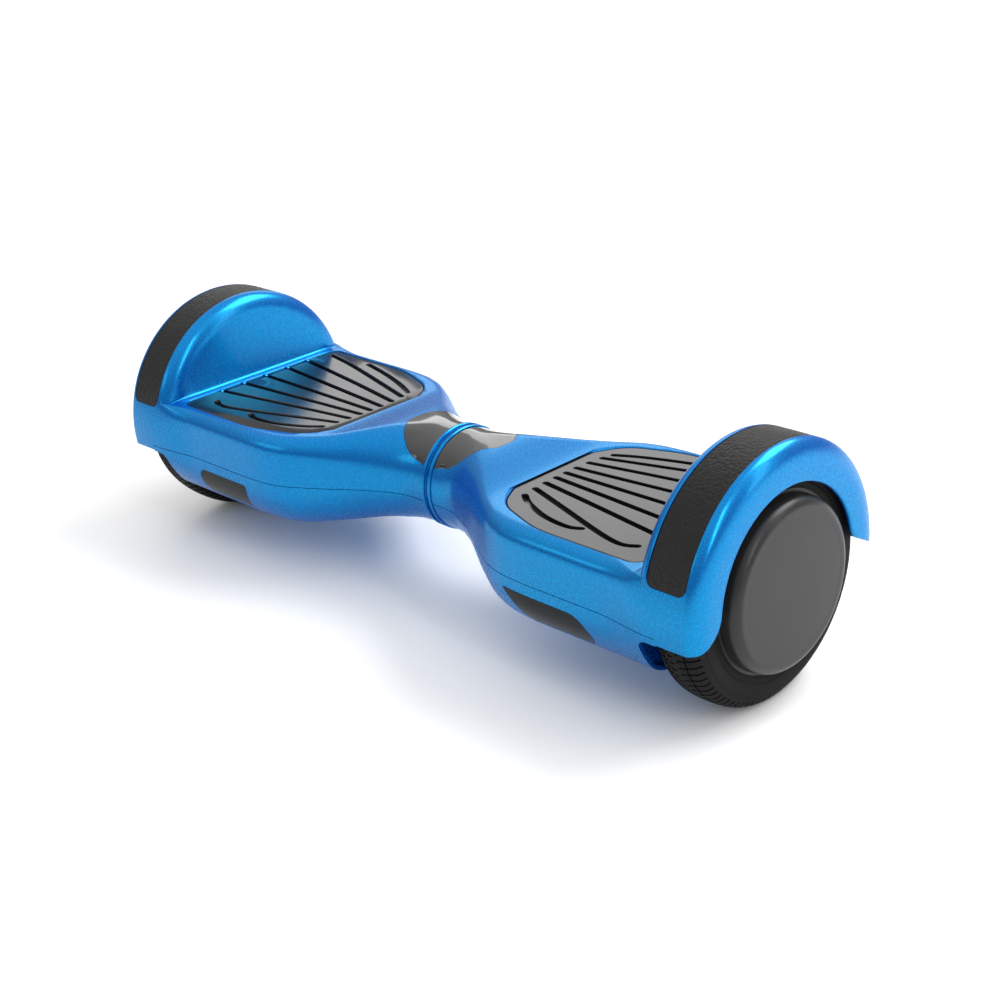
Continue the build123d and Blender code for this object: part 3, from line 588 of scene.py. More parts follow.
class Shader(Graph):
    """A material's node tree."""

    def __init__(self, name: str) -> None:
        """Starts a material with its principled surface."""
        self.material = bpy.data.materials.new(name)
        self.material.use_nodes = True
        super().__init__(self.material.node_tree)
        self.surface = self.tree.nodes.new("ShaderNodeBsdfPrincipled")
        self.output = self.tree.nodes.new("ShaderNodeOutputMaterial")
        self.tree.links.new(self.surface.outputs[0], self.output.inputs[0])
        self.place = self.node("TexCoord", {}, {}, "Object")

    def noise(self, scale: float, detail: float = 3.0, place: Value | None = None) -> Value:
        """Soft noise from 0 to 1, in patches of about 1/scale metres."""
        return self.node("TexNoise", {}, {"Vector": place or self.place, "Scale": scale, "Detail": detail})

    def cells(self, scale: float, feature: str = "F1", output: str = "Distance") -> Value:
        """Cells of about 1/scale metres."""
        return self.node("TexVoronoi", {"feature": feature}, {"Vector": self.place, "Scale": scale}, output)

    def stretched(self, factors: Sequence[float]) -> Value:
        """Object coordinates stretched along each axis."""
        return self.node("Mapping", {}, {"Vector": self.place, "Scale": factors})

    def blend(self, share: Value, one: Sequence[float], two: Sequence[float]) -> Value:
        """A colour between two, by a share."""
        return self.node("Mix", {"data_type": "RGBA"}, {0: share, 6: (*one, 1), 7: (*two, 1)}, 2)

    def relief(self, height: Value, depth: float) -> Value:
        """A bump of a depth in metres, at full strength."""
        return self.node("Bump", {}, {"Height": height, "Distance": depth, "Strength": 1.0})

    def mix_in(self, layer: Value, share: Value) -> None:
        """Lays a second surface over the first by a share."""
        both = self.node("MixShader", {}, {0: share, 1: Value(self, self.surface.outputs[0]), 2: layer})
        self.tree.links.new(both.socket, self.output.inputs[0])

    def set(self, **sockets: object) -> None:
        """Sets the surface's sockets, named with underscores for spaces."""
        for key, value in sockets.items():
            socket = self.surface.inputs[key.replace("_", " ")]
            if isinstance(value, Value):
                self.tree.links.new(value.socket, socket)
            else:
                socket.default_value = value


class Grain(Enum):
    """What the surface's fine relief looks like."""

    PEEL = "sprayed coat"
    PEBBLE = "pebbled rubber"
    SATIN = "moulded plastic"
    STREAK = "turned metal"
    CAST = "cast metal"
    WOUND = "wound wire"
    PLY = "stacked sheet"
    TRACKS = "circuit tracks"


@dataclass(frozen=True)
class Finish:
    """A surface's colours, gloss and grain."""

    name: str
    colour: Triple
    shade: Triple
    grain: Grain
    rough: float
    swing: float = 0.05
    metal: float = 0.0
    coat: float = 0.0
    coat_rough: float = 0.03
    gloss: float = 0.35
    size: float = 0.001
    depth: float = 0.00005

    def _height(self, shader: Shader) -> Value:
        """The relief that this grain has, from 0 to 1."""
        per = 1 / self.size
        if self.grain is Grain.PEBBLE:
            pits = shader.cells(per, "SMOOTH_F1")
            return shader.ramp(pits, (0.1, 1.0), (0.75, 0.0)) * 0.8 + shader.noise(per * 2.2) * 0.3
        if self.grain is Grain.STREAK:
            return shader.noise(per, 2, shader.stretched((6, 0.6, 0.6)))
        if self.grain is Grain.WOUND:
            return shader.node("TexWave", {"bands_direction": "Z"}, {
                "Vector": shader.place, "Scale": per, "Distortion": 1.2, "Detail Scale": 2.0})
        if self.grain is Grain.PLY:
            return shader.node("TexWave", {"bands_direction": "X"}, {"Vector": shader.place, "Scale": per})
        if self.grain is Grain.TRACKS:
            return shader.node("TexBrick", {"offset": 0.3},
                               {"Vector": shader.place, "Scale": per, "Mortar Size": 0.02}, "Fac")
        if self.grain is Grain.CAST:
            return shader.noise(per, 6) * 0.7 + shader.cells(per * 1.7) * 0.3
        return shader.noise(per, 4 if self.grain is Grain.SATIN else 1)

    def make(self) -> bpy.types.Material:
        """Writes the material.

        Returns:
            The new material.
        """
        shader = Shader(self.name)
        height = self._height(shader)
        drift = shader.noise(9, 4)
        share = shader.ramp(drift, (0.3, 0.0), (0.7, 1.0)) * 0.55 + height * 0.45
        smear = shader.noise(34, 5, shader.stretched((1, 1.8, 0.7)))
        shader.set(Base_Color=shader.blend(share, self.colour, self.shade), Metallic=self.metal,
                   Specular_IOR_Level=self.gloss,
                   Roughness=self.rough + (smear - 0.5) * (2 * self.swing) + (height - 0.5) * self.swing,
                   Coat_Weight=self.coat, Coat_Roughness=self.coat_rough,
                   Normal=shader.relief(height, self.depth))
        return shader.material


@dataclass(frozen=True)
class PearlPaint:
    """Blue pearl paint: cyan pearl flakes over a deep blue ground, under a clear coat."""

    name: str = "pearl_blue"
    ground: Triple = (0.0, 0.055, 0.38)
    deep: Triple = (0.0, 0.04, 0.31)
    pearl: Triple = (0.0, 0.4, 0.72)
    flake: Triple = (0.01, 0.5, 0.78)
    cover: float = 0.42
    flake_size: float = 0.0005
    coat: float = 0.14
    coat_rough: float = 0.03
    peel_depth: float = 0.000012

    def make(self) -> bpy.types.Material:
        """Writes the material.

        Returns:
            The new material.
        """
        shader = Shader(self.name)
        drift = shader.ramp(shader.noise(5, 3), (0.32, 0.0), (0.68, 1.0))
        flakes = shader.cells(1 / self.flake_size, output="Color")
        spark = shader.ramp(flakes, (0.5, 0.0), (0.95, 1.0))
        wipe = shader.noise(26, 5, shader.stretched((1.6, 0.8, 1)))
        peel = shader.relief(shader.noise(420, 1), self.peel_depth)
        shader.set(Base_Color=shader.blend(drift, self.ground, self.deep),
                   Roughness=0.42 + (wipe - 0.5) * 0.1, Specular_IOR_Level=0.1,
                   Coat_Weight=self.coat, Coat_Roughness=self.coat_rough, Normal=peel)
        layer = shader.node("BsdfPrincipled", {}, {
            "Base Color": shader.blend(spark * 0.35, self.pearl, self.flake), "Metallic": 1.0,
            "Roughness": 0.24 + (wipe - 0.5) * 0.08 + spark * 0.06, "Coat Weight": self.coat,
            "Coat Roughness": self.coat_rough, "Normal": peel})
        shader.mix_in(layer, self.cover + (drift - 0.5) * 0.08 + (spark - 0.3) * 0.05)
        return shader.material


FINISHES: dict[str, Finish | PearlPaint] = {
    "cover_paint": PearlPaint(),
    "dark_window": Finish(
        "gloss_window", (0.004, 0.004, 0.005), (0.009, 0.008, 0.008), Grain.PEEL, 0.12, 0.03, coat=1.0,
        size=0.004, depth=0.00001),
    "smoked_lens": Finish(
        "smoked_lens", (0.007, 0.008, 0.008), (0.013, 0.014, 0.014), Grain.PEEL, 0.2, 0.04, coat=0.05,
        coat_rough=0.1, gloss=0.12, size=0.003, depth=0.00001),
    "circuit_board": Finish(
        "circuit_board", (0.01, 0.09, 0.035), (0.02, 0.15, 0.06), Grain.TRACKS, 0.4, coat=0.3,
        size=0.006, depth=0.00004),
    "pad_rubber": Finish(
        "pad_rubber", (0.003, 0.003, 0.004), (0.009, 0.009, 0.01), Grain.SATIN, 0.22, 0.06, coat=0.3,
        coat_rough=0.12, gloss=0.3, size=0.0012, depth=0.00002),
    "strip_rubber": Finish(
        "strip_rubber", (0.004, 0.004, 0.004), (0.016, 0.016, 0.015), Grain.PEBBLE, 0.46, 0.08,
        gloss=0.22, size=0.0019, depth=0.0005),
    "black_plastic": Finish(
        "black_plastic", (0.012, 0.012, 0.013), (0.02, 0.02, 0.021), Grain.SATIN, 0.42, size=0.0007,
        depth=0.00003),
    "cast_frame": Finish(
        "cast_frame", (0.42, 0.43, 0.44), (0.3, 0.31, 0.32), Grain.CAST, 0.45, 0.08, 0.9, size=0.0018,
        depth=0.0001),
    "steel": Finish(
        "steel", (0.5, 0.5, 0.51), (0.38, 0.38, 0.39), Grain.STREAK, 0.28, 0.08, 1.0, size=0.001,
        depth=0.00002),
    "core_steel": Finish(
        "core_steel", (0.2, 0.2, 0.21), (0.12, 0.12, 0.13), Grain.PLY, 0.4, 0.06, 1.0, size=0.0035,
        depth=0.00005),
    "copper": Finish(
        "copper", (0.72, 0.27, 0.1), (0.5, 0.16, 0.05), Grain.WOUND, 0.3, 0.06, 1.0, size=0.004,
        depth=0.00015),
    "magnet": Finish(
        "magnet", (0.35, 0.35, 0.36), (0.26, 0.26, 0.27), Grain.CAST, 0.35, 0.06, 0.9, size=0.002,
        depth=0.00003),
    "drum_metal": Finish(
        "drum_metal", (0.05, 0.05, 0.052), (0.03, 0.03, 0.032), Grain.CAST, 0.45, 0.07, 0.5,
        size=0.0016, depth=0.00006),
    "tyre_rubber": Finish(
        "tyre_rubber", (0.004, 0.004, 0.004), (0.011, 0.011, 0.010), Grain.SATIN, 0.6, 0.09, gloss=0.1,
        size=0.0011, depth=0.00009),
    "cap_plastic": Finish(
        "cap_plastic", (0.014, 0.014, 0.015), (0.022, 0.022, 0.022), Grain.SATIN, 0.34, 0.05,
        coat=0.06, coat_rough=0.3, gloss=0.3, size=0.0006, depth=0.00002),
    "bush_bronze": Finish(
        "bush_bronze", (0.5, 0.33, 0.13), (0.36, 0.22, 0.08), Grain.STREAK, 0.35, 0.07, 1.0,
        size=0.001, depth=0.00003),
    "battery_wrap": Finish(
        "battery_wrap", (0.02, 0.07, 0.32), (0.012, 0.05, 0.22), Grain.PEEL, 0.32, 0.08, coat=0.2,
        coat_rough=0.2, size=0.012, depth=0.0002),
    "button_metal": Finish(
        "button_metal", (0.6, 0.6, 0.61), (0.48, 0.48, 0.49), Grain.STREAK, 0.24, 0.06, 1.0,
        size=0.0012, depth=0.00002),
}


class Dresser:
    """Hands out each finish's material, made once."""

    def __init__(self) -> None:
        """Starts with nothing made."""
        self.made: dict[str, bpy.types.Material] = {}

    def material(self, slot: str) -> bpy.types.Material:
        """The material of a slot."""
        if slot not in self.made:
            self.made[slot] = FINISHES[slot].make()
        return self.made[slot]

    def dress(self, obj: bpy.types.Object, slot: str) -> None:
        """Gives an object the one material of a slot."""
        if obj.data.materials:
            for i in range(len(obj.data.materials)):
                obj.data.materials[i] = self.material(slot)
        else:
            obj.data.materials.append(self.material(slot))


# ---------------------------------------------------------------------------
# the board's outer form
# ---------------------------------------------------------------------------


@dataclass(frozen=True)
class Hull:
    """One half's outer form, which the covers, windows and lenses share, in millimetres."""

    axle: float = 84.0
    start: float = 4.7
    wall_x: float = 238.6
    end: float = 258.0
    fillet: float = 3.2
    stations: tuple[float, ...] = (4.7, 13.35, 22.0, 47.0, 92.0, 110.0, 128.0, 150.0)
    half_depth: tuple[float, ...] = (37.5, 37.5, 38.0, 47.5, 74.0, 83.0, 87.0, 88.0)
    rise: tuple[float, ...] = (37.5, 37.5, 37.5, 35.5, 28.5, 28.1, 28.0, 28.0)
    drop: tuple[float, ...] = (37.5, 37.5, 37.5, 38.5, 44.0, 46.6, 47.7, 48.0)
    top_round: tuple[float, ...] = (37.3, 37.3, 36.3, 30.0, 15.0, 13.0, 12.2, 12.0)
    low_round: tuple[float, ...] = (37.3, 37.3, 36.3, 35.8, 33.0, 33.0, 33.0, 33.0)
    pieces: tuple[int, ...] = (12, 12, 8, 16, 8)
    flow: Point2 = (206.0, 251.0)
    flow_z: Point2 = (52.0, 70.0)
    flow_r: float = 92.9
    fillet_y: Point2 = (62.0, 80.0)
    least_round: float = 1.5

    def section(self, x: float, inset: float) -> list[Point2]:
        """The outline across the half.

        Args:
            x: place along the half.
            inset: distance inside the outer face.

        Returns:
            Points as (y, z), all round.
        """
        side = smooth_between(self.stations, self.half_depth, x) - inset
        rise = smooth_between(self.stations, self.rise, x)
        drop = smooth_between(self.stations, self.drop, x)
        up = max(smooth_between(self.stations, self.top_round, x) - inset, self.least_round)
        down = max(smooth_between(self.stations, self.low_round, x) - inset, self.least_round)
        top, low = self.axle + rise - inset, self.axle - drop + inset
        flat, curve, wall, belly, bottom = self.pieces
        half = [((side - up) * i / flat, top) for i in range(flat)]
        half += arc_points((side - up, top - up), (up, up), 90, 0, curve)[:-1]
        half += [(side, top - up + (low + down - top + up) * i / wall) for i in range(wall)]
        half += arc_points((side - down, low + down), (down, down), 0, -90, belly)[:-1]
        half += [((side - down) * (1 - i / bottom), low) for i in range(bottom + 1)]
        half = [self.flowed(x, y, z, inset) if i >= flat else (y, z) for i, (y, z) in enumerate(half)]
        raised = self.fillet_rise(x)
        half = [(y, z + raised * (1 - ramped(y, *self.fillet_y))) if i < flat + curve else (y, z)
                for i, (y, z) in enumerate(half)]
        return half + [(-y, z) for y, z in half[-2:0:-1]]

    def fillet_rise(self, x: float) -> float:
        """How far the deck has risen into the fender's wall."""
        near = min(max(x - (self.wall_x - self.fillet), 0.0), self.fillet)
        return self.fillet - math.sqrt(self.fillet ** 2 - near ** 2)

    def flowed(self, x: float, y: float, z: float, inset: float) -> Point2:
        """Leads the side towards the fender's round front.

        Args:
            x: place along the half.
            y: the side's depth there.
            z: height.
            inset: distance inside the outer face.

        Returns:
            The point on the flowing side.
        """
        share, lift = ramped(x, *self.flow), ramped(z, *self.flow_z)
        share = share * share * (3 - 2 * share) * lift * lift * (3 - 2 * lift)
        around = math.sqrt(max((self.flow_r - inset) ** 2 - (z - self.axle) ** 2, 0.0))
        return y + (around - y) * share, z

    def rows(self, end: float) -> list[float]:
        """Places of the sections, close together where the form changes fast."""
        places = [self.start + 1.9 * i for i in range(13)]
        places += [30.0 + 3.0 * i for i in range(32)]
        places += [132.0 + 7.0 * i for i in range(15)]
        places += [233.6, 235.4, 236.5, 237.4, 238.0, 238.4, 238.6, 241.0, 244.0, 247.0, 250.0, 258.0]
        return [x for x in places if x < end - 0.05] + [end]

    def solid(self, name: str, inset: float = 0.0, end: float | None = None) -> Piece:
        """The closed form.

        Args:
            name: the piece's name.
            inset: distance inside the outer face.
            end: where it stops.

        Returns:
            The new piece.
        """
        rows = self.rows(end or self.end)
        if inset:
            rows[0] -= 3.0
        sections = [self.section(x, inset) for x in rows]
        count = len(sections[0])
        return Piece.wrapped(name, count, len(rows) - 1,
                             lambda c, r: sideways(*sections[r][c % count], rows[r]))


@dataclass(frozen=True)
class Outlines:
    """Outlines that two pieces share, one that fits in the other."""

    recess: tuple[Triple, ...] = (
        (87.5, -34.0, 28.0), (103.0, -62.0, 36.0), (146.0, -77.0, 80.0), (232.6, -77.0, 9.0),
        (232.6, 77.0, 9.0), (146.0, 77.0, 80.0), (103.0, 62.0, 36.0), (87.5, 34.0, 28.0))
    window: tuple[Triple, ...] = (
        (5.1, -33.0, 0.5), (31.0, -29.5, 26.0), (45.5, -8.0, 8.0), (45.5, 8.0, 8.0),
        (31.0, 29.5, 26.0), (5.1, 33.0, 0.5))
    strip: tuple[Triple, ...] = (
        (249.0, 108.0, 6.0), (279.4, 108.0, 6.0), (279.4, 190.0, 0.0), (249.0, 190.0, 0.0))
    lens: dict[Side, tuple[Triple, ...]] = field(default_factory=lambda: {
        Side.RIGHT: ((123.0, 68.0, 0.8), (190.0, 67.5, 18.0), (206.0, 47.0, 6.0), (142.0, 47.0, 9.0)),
        Side.LEFT: ((147.0, 68.0, 2.5), (207.0, 68.0, 8.0), (203.0, 49.0, 6.0), (149.0, 49.0, 3.0))})


@dataclass
class Covers:
    """The two painted covers of each half."""

    hull: Hull
    outlines: Outlines
    wall: float = 2.5
    part_z: float = 76.0
    part_gap: float = 0.25
    step_x: float = 258.0
    skirt_z: float = 72.0
    fender_r: float = 93.0
    fender_face: float = 288.5
    shoulder: Point2 = (9.0, 16.0)
    crown: Point2 = (10.0, 15.0)
    opening_r: float = 66.0
    recess_z: float = 103.7
    seat_r: float = 91.5
    strip_edge: float = 0.7
    gap: float = 0.3
    screw_places: tuple[Point2, ...] = ((112.0, -47.0), (112.0, 47.0), (214.0, -47.0), (214.0, 47.0))
    ports: tuple[tuple[float, float], ...] = ((130.0, 8.3), (178.0, 7.3))
    teeth: tuple[float, ...] = (46.5, 25.7, 3.5, -18.5, -40.4)
    port_z: float = 61.0
    port_face: float = 84.0
    port_r: float = 12.5
    tooth_w: float = 2.6
    beyond: float = 110.0
    well_r: float = 85.6
    well_x: float = 241.1
    tube_r: float = 5.9
    head_r: float = 3.9
    shank_r: float = 1.9

    def opening(self) -> list[Point2]:
        """Side view of the fender's open part: the wheel's circle, running out into both skirts."""
        axle = self.hull.axle
        line = [(-102.0, -20.0), (-102.0, self.skirt_z)]
        line += arc_points((-87.4, self.skirt_z + 22), (22.0, 22.0), -90, -6.5, 10)
        line += arc_points((0.0, axle), (self.opening_r,) * 2, 173.5, 13.7, 56)[1:]
        line += arc_points((79.7, 103.4), (16.0, 16.0), 193.7, 241.4, 8)[1:]
        return line + [(91.0, 79.0), (102.0, 76.0), (102.0, -20.0)]

    def fender(self) -> Piece:
        """The solid of the fender about the axle."""
        across, down = self.crown
        out, fall = self.shoulder
        r, face, x = self.fender_r, self.fender_face, self.hull.wall_x
        profile = [(x, 0.0)] + arc_points((x + across, r - down), (across, down), 180, 90, 14)
        profile += arc_points((face - out, r - fall), (out, fall), 90, 0, 14) + [(face, 0.0)]
        return Piece.spun("fender", profile, self.hull.axle, 144, closed=False)

    def well(self) -> Piece:
        """The space that the wheel turns in."""
        face = self.fender_face - self.wall
        x = self.hull.wall_x + self.wall
        profile = [(x, 0.0), (x, 83.0), (247.0, 89.0), (277.0, 89.0), (282.5, 85.0), (face, 76.0),
                   (face, 0.0)]
        return Piece.spun("well", profile, self.hull.axle, 96, closed=False)

    def strip_ring(self, name: str, clearance: float, inner: float, outer: float) -> Piece:
        """The rubber strip's ring, or the groove that it lies in.

        Args:
            name: the piece's name.
            clearance: how far inside the groove's outline it stays.
            inner: inside radius.
            outer: outside radius.

        Returns:
            The new piece.
        """
        low, high = self.outlines.strip[0][0] + clearance, self.outlines.strip[1][0] - clearance
        profile = [(low, inner), (high, inner), (high, outer), (low, outer)]
        if clearance:
            edge = self.strip_edge
            profile[2:] = [(high, outer - edge), (high - edge, outer), (low + edge, outer), (low, outer - edge)]
        ring = Piece.spun(name, profile, self.hull.axle, 144)
        ring.carve(box("lower_part", (200, -130, -30), (300, 130, self.hull.axle)))
        ends = grown(rounded(self.outlines.strip, 5), -clearance)
        return ring.carve(Piece.prism("ends", ends, rearward, -100, 100), how=Cut.KEEP)

    def top(self, name: str) -> Piece:
        """The upper cover: deck, fender, skirts and the recess for the pad."""
        hull, gap = self.hull, self.gap
        cover = hull.solid(name, end=252.0)
        cover.carve(self.fender(), how=Cut.JOIN)
        recess = rounded(self.outlines.recess, 8)
        cavity = hull.solid("cavity", self.wall, hull.wall_x - self.wall)
        cavity.carve(Piece.prism("floor", grown(recess, self.wall), upright, self.recess_z - self.wall, 130))
        cover.carve(cavity)
        cover.carve(self.well())
        opening = self.opening()
        cover.carve(lofted("mouth", [(246.0, opening), (286.6, opening), (287.6, grown(opening, 0.35)),
                                     (288.2, grown(opening, 0.9)), (288.6, grown(opening, 1.9)),
                                     (300.0, grown(opening, 1.9))], sideways))
        cover.carve(box("below", (0, -110, -30), (self.step_x, 110, self.part_z + self.part_gap)))
        cover.carve(box("under", (self.step_x - 1, -110, -30), (300, 110, self.skirt_z)))
        cover.carve(lofted("recess", [(self.recess_z, recess), (111.0, recess), (111.5, grown(recess, 0.15)),
                                      (112.0, grown(recess, 0.8)), (112.6, grown(recess, 2.2))], upright))
        window = grown(rounded(self.outlines.window, 8), gap)
        cover.carve(Piece.prism("window", [(x if x > 6 else 2.0, y) for x, y in window], upright, 90, 130))
        half = self.tooth_w / 2
        for y in self.teeth:
            tooth = [(229.2, y - half), (234.0, y - half), (234.0, y + half), (229.2, y + half)]
            levels = [(109.3, tooth), (111.5, tooth), (111.9, grown(tooth, -0.4))]
            cover.carve(lofted("tooth", levels, upright), how=Cut.JOIN)
        cover.carve(self.strip_ring("groove", 0.0, self.seat_r, 99.0))
        cover.carve(rod("axle_hole", (0, hull.axle), 19, sideways, 230, 246))
        return cover

    def bottom(self, name: str, side: Side) -> Piece:
        """The lower cover: belly, lens cut-out, screw wells and an open end towards the wheel."""
        hull, gap, wall = self.hull, self.gap, self.wall
        cover = hull.solid(name)
        cavity = hull.solid("cavity", wall, hull.wall_x - wall)
        for x, y in self.screw_places:
            cavity.carve(rod("tube", (x, y), self.tube_r, upright, 30, 73))
        if side is Side.RIGHT:
            for x, _ in self.ports:
                cavity.carve(rod("boss", (x, self.port_z), self.port_r, rearward, 76, 100))
        cover.carve(cavity)
        cover.carve(box("above", (0, -110, self.part_z - self.part_gap), (300, 110, 130)))
        end = [(243.0, 20.0), (243.0, 60.0)] + arc_points((249.5, 64.5), (6.5, 6.5), 180, 90, 8)
        end += [(270.0, 71.0), (270.0, 20.0)]
        cover.carve(Piece.prism("end", end, rearward, -self.beyond, self.beyond))
        low, high, r = self.well_x, 270.0, self.well_r
        wheel = [(low, 0.0), (low, r), (high, r), (high, 0.0)]
        cover.carve(Piece.spun("wheel", wheel, hull.axle, 96, closed=False))
        inner = hull.section(hull.wall_x, wall + 0.4)
        cover.carve(lofted("open_end", [(hull.wall_x, [(y, min(z, 90)) for y, z in inner]),
                                        (250.0, [(y, min(z, 90)) for y, z in inner])], sideways))
        lens = grown(rounded(self.outlines.lens[side], 8), gap)
        cover.carve(Piece.prism("lens", lens, rearward, -100, -50))
        for x, y in self.screw_places:
            cover.carve(rod("head", (x, y), self.head_r, upright, 20, 62.4),
                        rod("shank", (x, y), self.shank_r, upright, 60, 76))
        if side is Side.RIGHT:
            for x, bore in self.ports:
                cover.carve(rod("face", (x, self.port_z), self.port_r, rearward, self.port_face,
                                self.beyond, 48),
                            rod("bore", (x, self.port_z), bore, rearward, 60, 110))
        return cover

    def hinge_ears(self) -> Piece:
        """The two ears that hold the socket flap's pin."""
        outline = arc_points((86.7, 48.3), (2.2, 2.2), -90, 90, 8) + [(78.0, 50.5), (78.0, 46.1)]
        ears = [Piece.prism("ear", outline, sideways, x, x + 2.0) for x in (124.7, 133.3)]
        return ears[0].join(ears[1])

    def build(self, dresser: Dresser) -> None:
        """Makes, dresses and seats the covers of both halves."""
        right = self.top("right_deck").smooth_shade()
        left = right.mirrored("left_deck")
        for piece, side in ((right, Side.RIGHT), (left, Side.LEFT)):
            seat(piece, dresser, "cover_paint", f"{side.value}_half", f"{side.value}_top_cover")
        right = self.bottom("right_belly", Side.RIGHT).carve(self.hinge_ears(), how=Cut.JOIN).smooth_shade()
        seat(right, dresser, "cover_paint", "right_half", "right_bottom_cover")
        left = self.bottom("left_belly_form", Side.LEFT).smooth_shade()
        twin = left.mirrored("left_belly")
        bpy.data.objects.remove(left.obj, do_unlink=True)
        seat(twin, dresser, "cover_paint", "left_half", "left_bottom_cover")
        strip = self.strip_ring("right_bumper", self.gap, self.seat_r + 0.05, self.fender_r).smooth_shade()
        pair(strip, "left_bumper", dresser, "strip_rubber", "half", "fender_strip")


def seat(piece: Piece, dresser: Dresser, slot: str, body: str, *nodes: str) -> None:
    """Dresses a finished piece and puts it on its body in place of its nodes.

    Args:
        piece: the piece.
        dresser: hands out materials.
        slot: the material slot.
        body: the body that it moves with.
        nodes: nodes that it stands for.
    """
    dresser.dress(piece.obj, slot)
    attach(piece.obj, body)
    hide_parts(*nodes)
    LOG.info("%s: %d faces", piece.obj.name, len(piece.obj.data.polygons))


def pair(right: Piece, left_name: str, dresser: Dresser, slot: str, body: str, node: str) -> None:
    """Seats a right piece and its mirror image.

    Args:
        right: the finished right piece.
        left_name: name of its twin.
        dresser: hands out materials.
        slot: the material slot.
        body: the bodies' name without its side.
        node: the nodes' name without its side.
    """
    left = right.mirrored(left_name)
    for piece, side in ((right, Side.RIGHT), (left, Side.LEFT)):
        seat(piece, dresser, slot, f"{side.value}_{body}", f"{side.value}_{node}")


@dataclass
class Glazing:
    """The gloss windows by the centre and the smoked lenses of the front lights."""

    hull: Hull
    outlines: Outlines
    window_wall: float = 1.8
    window_end: float = 60.0
    lens_wall: float = 2.2
    lens_end: float = 225.0
    inside_reach: float = 4.0

    def skin(self, name: str, tool: Piece, wall: float, high: float) -> Piece:
        """A part of the outer form as a thin skin.

        Args:
            name: the piece's name.
            tool: keeps what lies within its outline.
            wall: the skin's thickness.
            high: where the hull's stretch ends.

        Returns:
            The new piece.
        """
        skin = self.hull.solid(name, end=high)
        skin.carve(self.hull.solid("inside", wall, high + self.inside_reach))
        skin.carve(tool, how=Cut.KEEP)
        return skin

    def build(self, dresser: Dresser) -> None:
        """Makes, dresses and seats windows and lenses."""
        outline = rounded(self.outlines.window, 8)
        tool = Piece.prism("tool", outline, upright, 90, 130)
        window = self.skin("right_window", tool, self.window_wall, self.window_end).smooth_shade()
        pair(window, "left_window", dresser, "dark_window", "half", "display_window")
        for side in Side:
            tool = Piece.prism("tool", rounded(self.outlines.lens[side], 8), rearward, -100, -50)
            name = f"{side.value}_lens"
            form_name = name if side is Side.RIGHT else "lens_form"
            lens = self.skin(form_name, tool, self.lens_wall, self.lens_end)
            lens.smooth_shade()
            if side is Side.LEFT:
                form, lens = lens, lens.mirrored(name)
                bpy.data.objects.remove(form.obj, do_unlink=True)
            seat(lens, dresser, "smoked_lens", f"{side.value}_half", f"{side.value}_light_lens")


@dataclass
class FootPad:
    """The gloss rubber pad with its fanned grooves."""

    outlines: Outlines
    under: float = 105.5
    top: float = 111.5
    clear: float = 0.5
    groove_w: float = 4.4
    groove_depth: float = 3.0
    edge: tuple[Point2, ...] = ((-0.9, 0.0), (-0.35, -0.25), (0.0, -0.9))
    lip: tuple[Point2, ...] = ((-0.5, 0.0), (-0.1, 0.18), (0.3, 0.5))
    foot: float = -0.35
    grooves: tuple[tuple[Point2, ...], ...] = (
        ((106.0, 44.0), (124.0, 52.6), (152.0, 62.2), (181.0, 69.5)),
        ((103.4, 35.4), (140.0, 46.0), (190.0, 60.0), (224.0, 67.0)),
        ((101.6, 23.7), (150.0, 33.0), (200.0, 41.5), (236.0, 47.3)),
        ((100.7, 11.9), (150.0, 17.0), (200.0, 22.4), (236.0, 26.1)),
        ((100.9, 1.4), (150.0, 2.2), (200.0, 3.0), (236.0, 3.5)),
        ((101.0, -8.6), (150.0, -12.2), (200.0, -16.2), (236.0, -18.8)),
        ((101.6, -19.4), (150.0, -26.8), (200.0, -35.0), (236.0, -41.0)),
        ((102.6, -30.5), (140.0, -42.6), (178.0, -55.0), (198.0, -60.2), (208.0, -60.2),
         (215.0, -56.5)),
        ((104.5, -42.5), (116.0, -50.5), (136.0, -58.6), (152.0, -61.6), (163.0, -61.6),
         (170.0, -58.6)),
    )

    def rising(self, outline: list[Point2], steps: Sequence[Point2]) -> list[tuple[float, list[Point2]]]:
        """An outline that grows or shrinks near the pad's top.

        Args:
            outline: the outline before it changes.
            steps: heights above the top, each with how far the outline has grown.

        Returns:
            Levels and outlines for a loft.
        """
        return [(self.top + up, grown(outline, by) if by else outline) for up, by in steps]

    def build(self, dresser: Dresser) -> None:
        """Makes, dresses and seats both pads."""
        outline = grown(rounded(self.outlines.recess, 8), -self.clear)
        pad = lofted("right_tread", [(self.under, outline)] + self.rising(outline, self.edge), upright)
        for line in self.grooves:
            slot = ribbon(curve_through(line, 5), self.groove_w)
            foot = (self.top - self.groove_depth, grown(slot, self.foot))
            pad.carve(lofted("groove", [foot] + self.rising(slot, self.lip), upright))
        pair(pad.smooth_shade(30), "left_tread", dresser, "pad_rubber", "pad", "foot_pad")


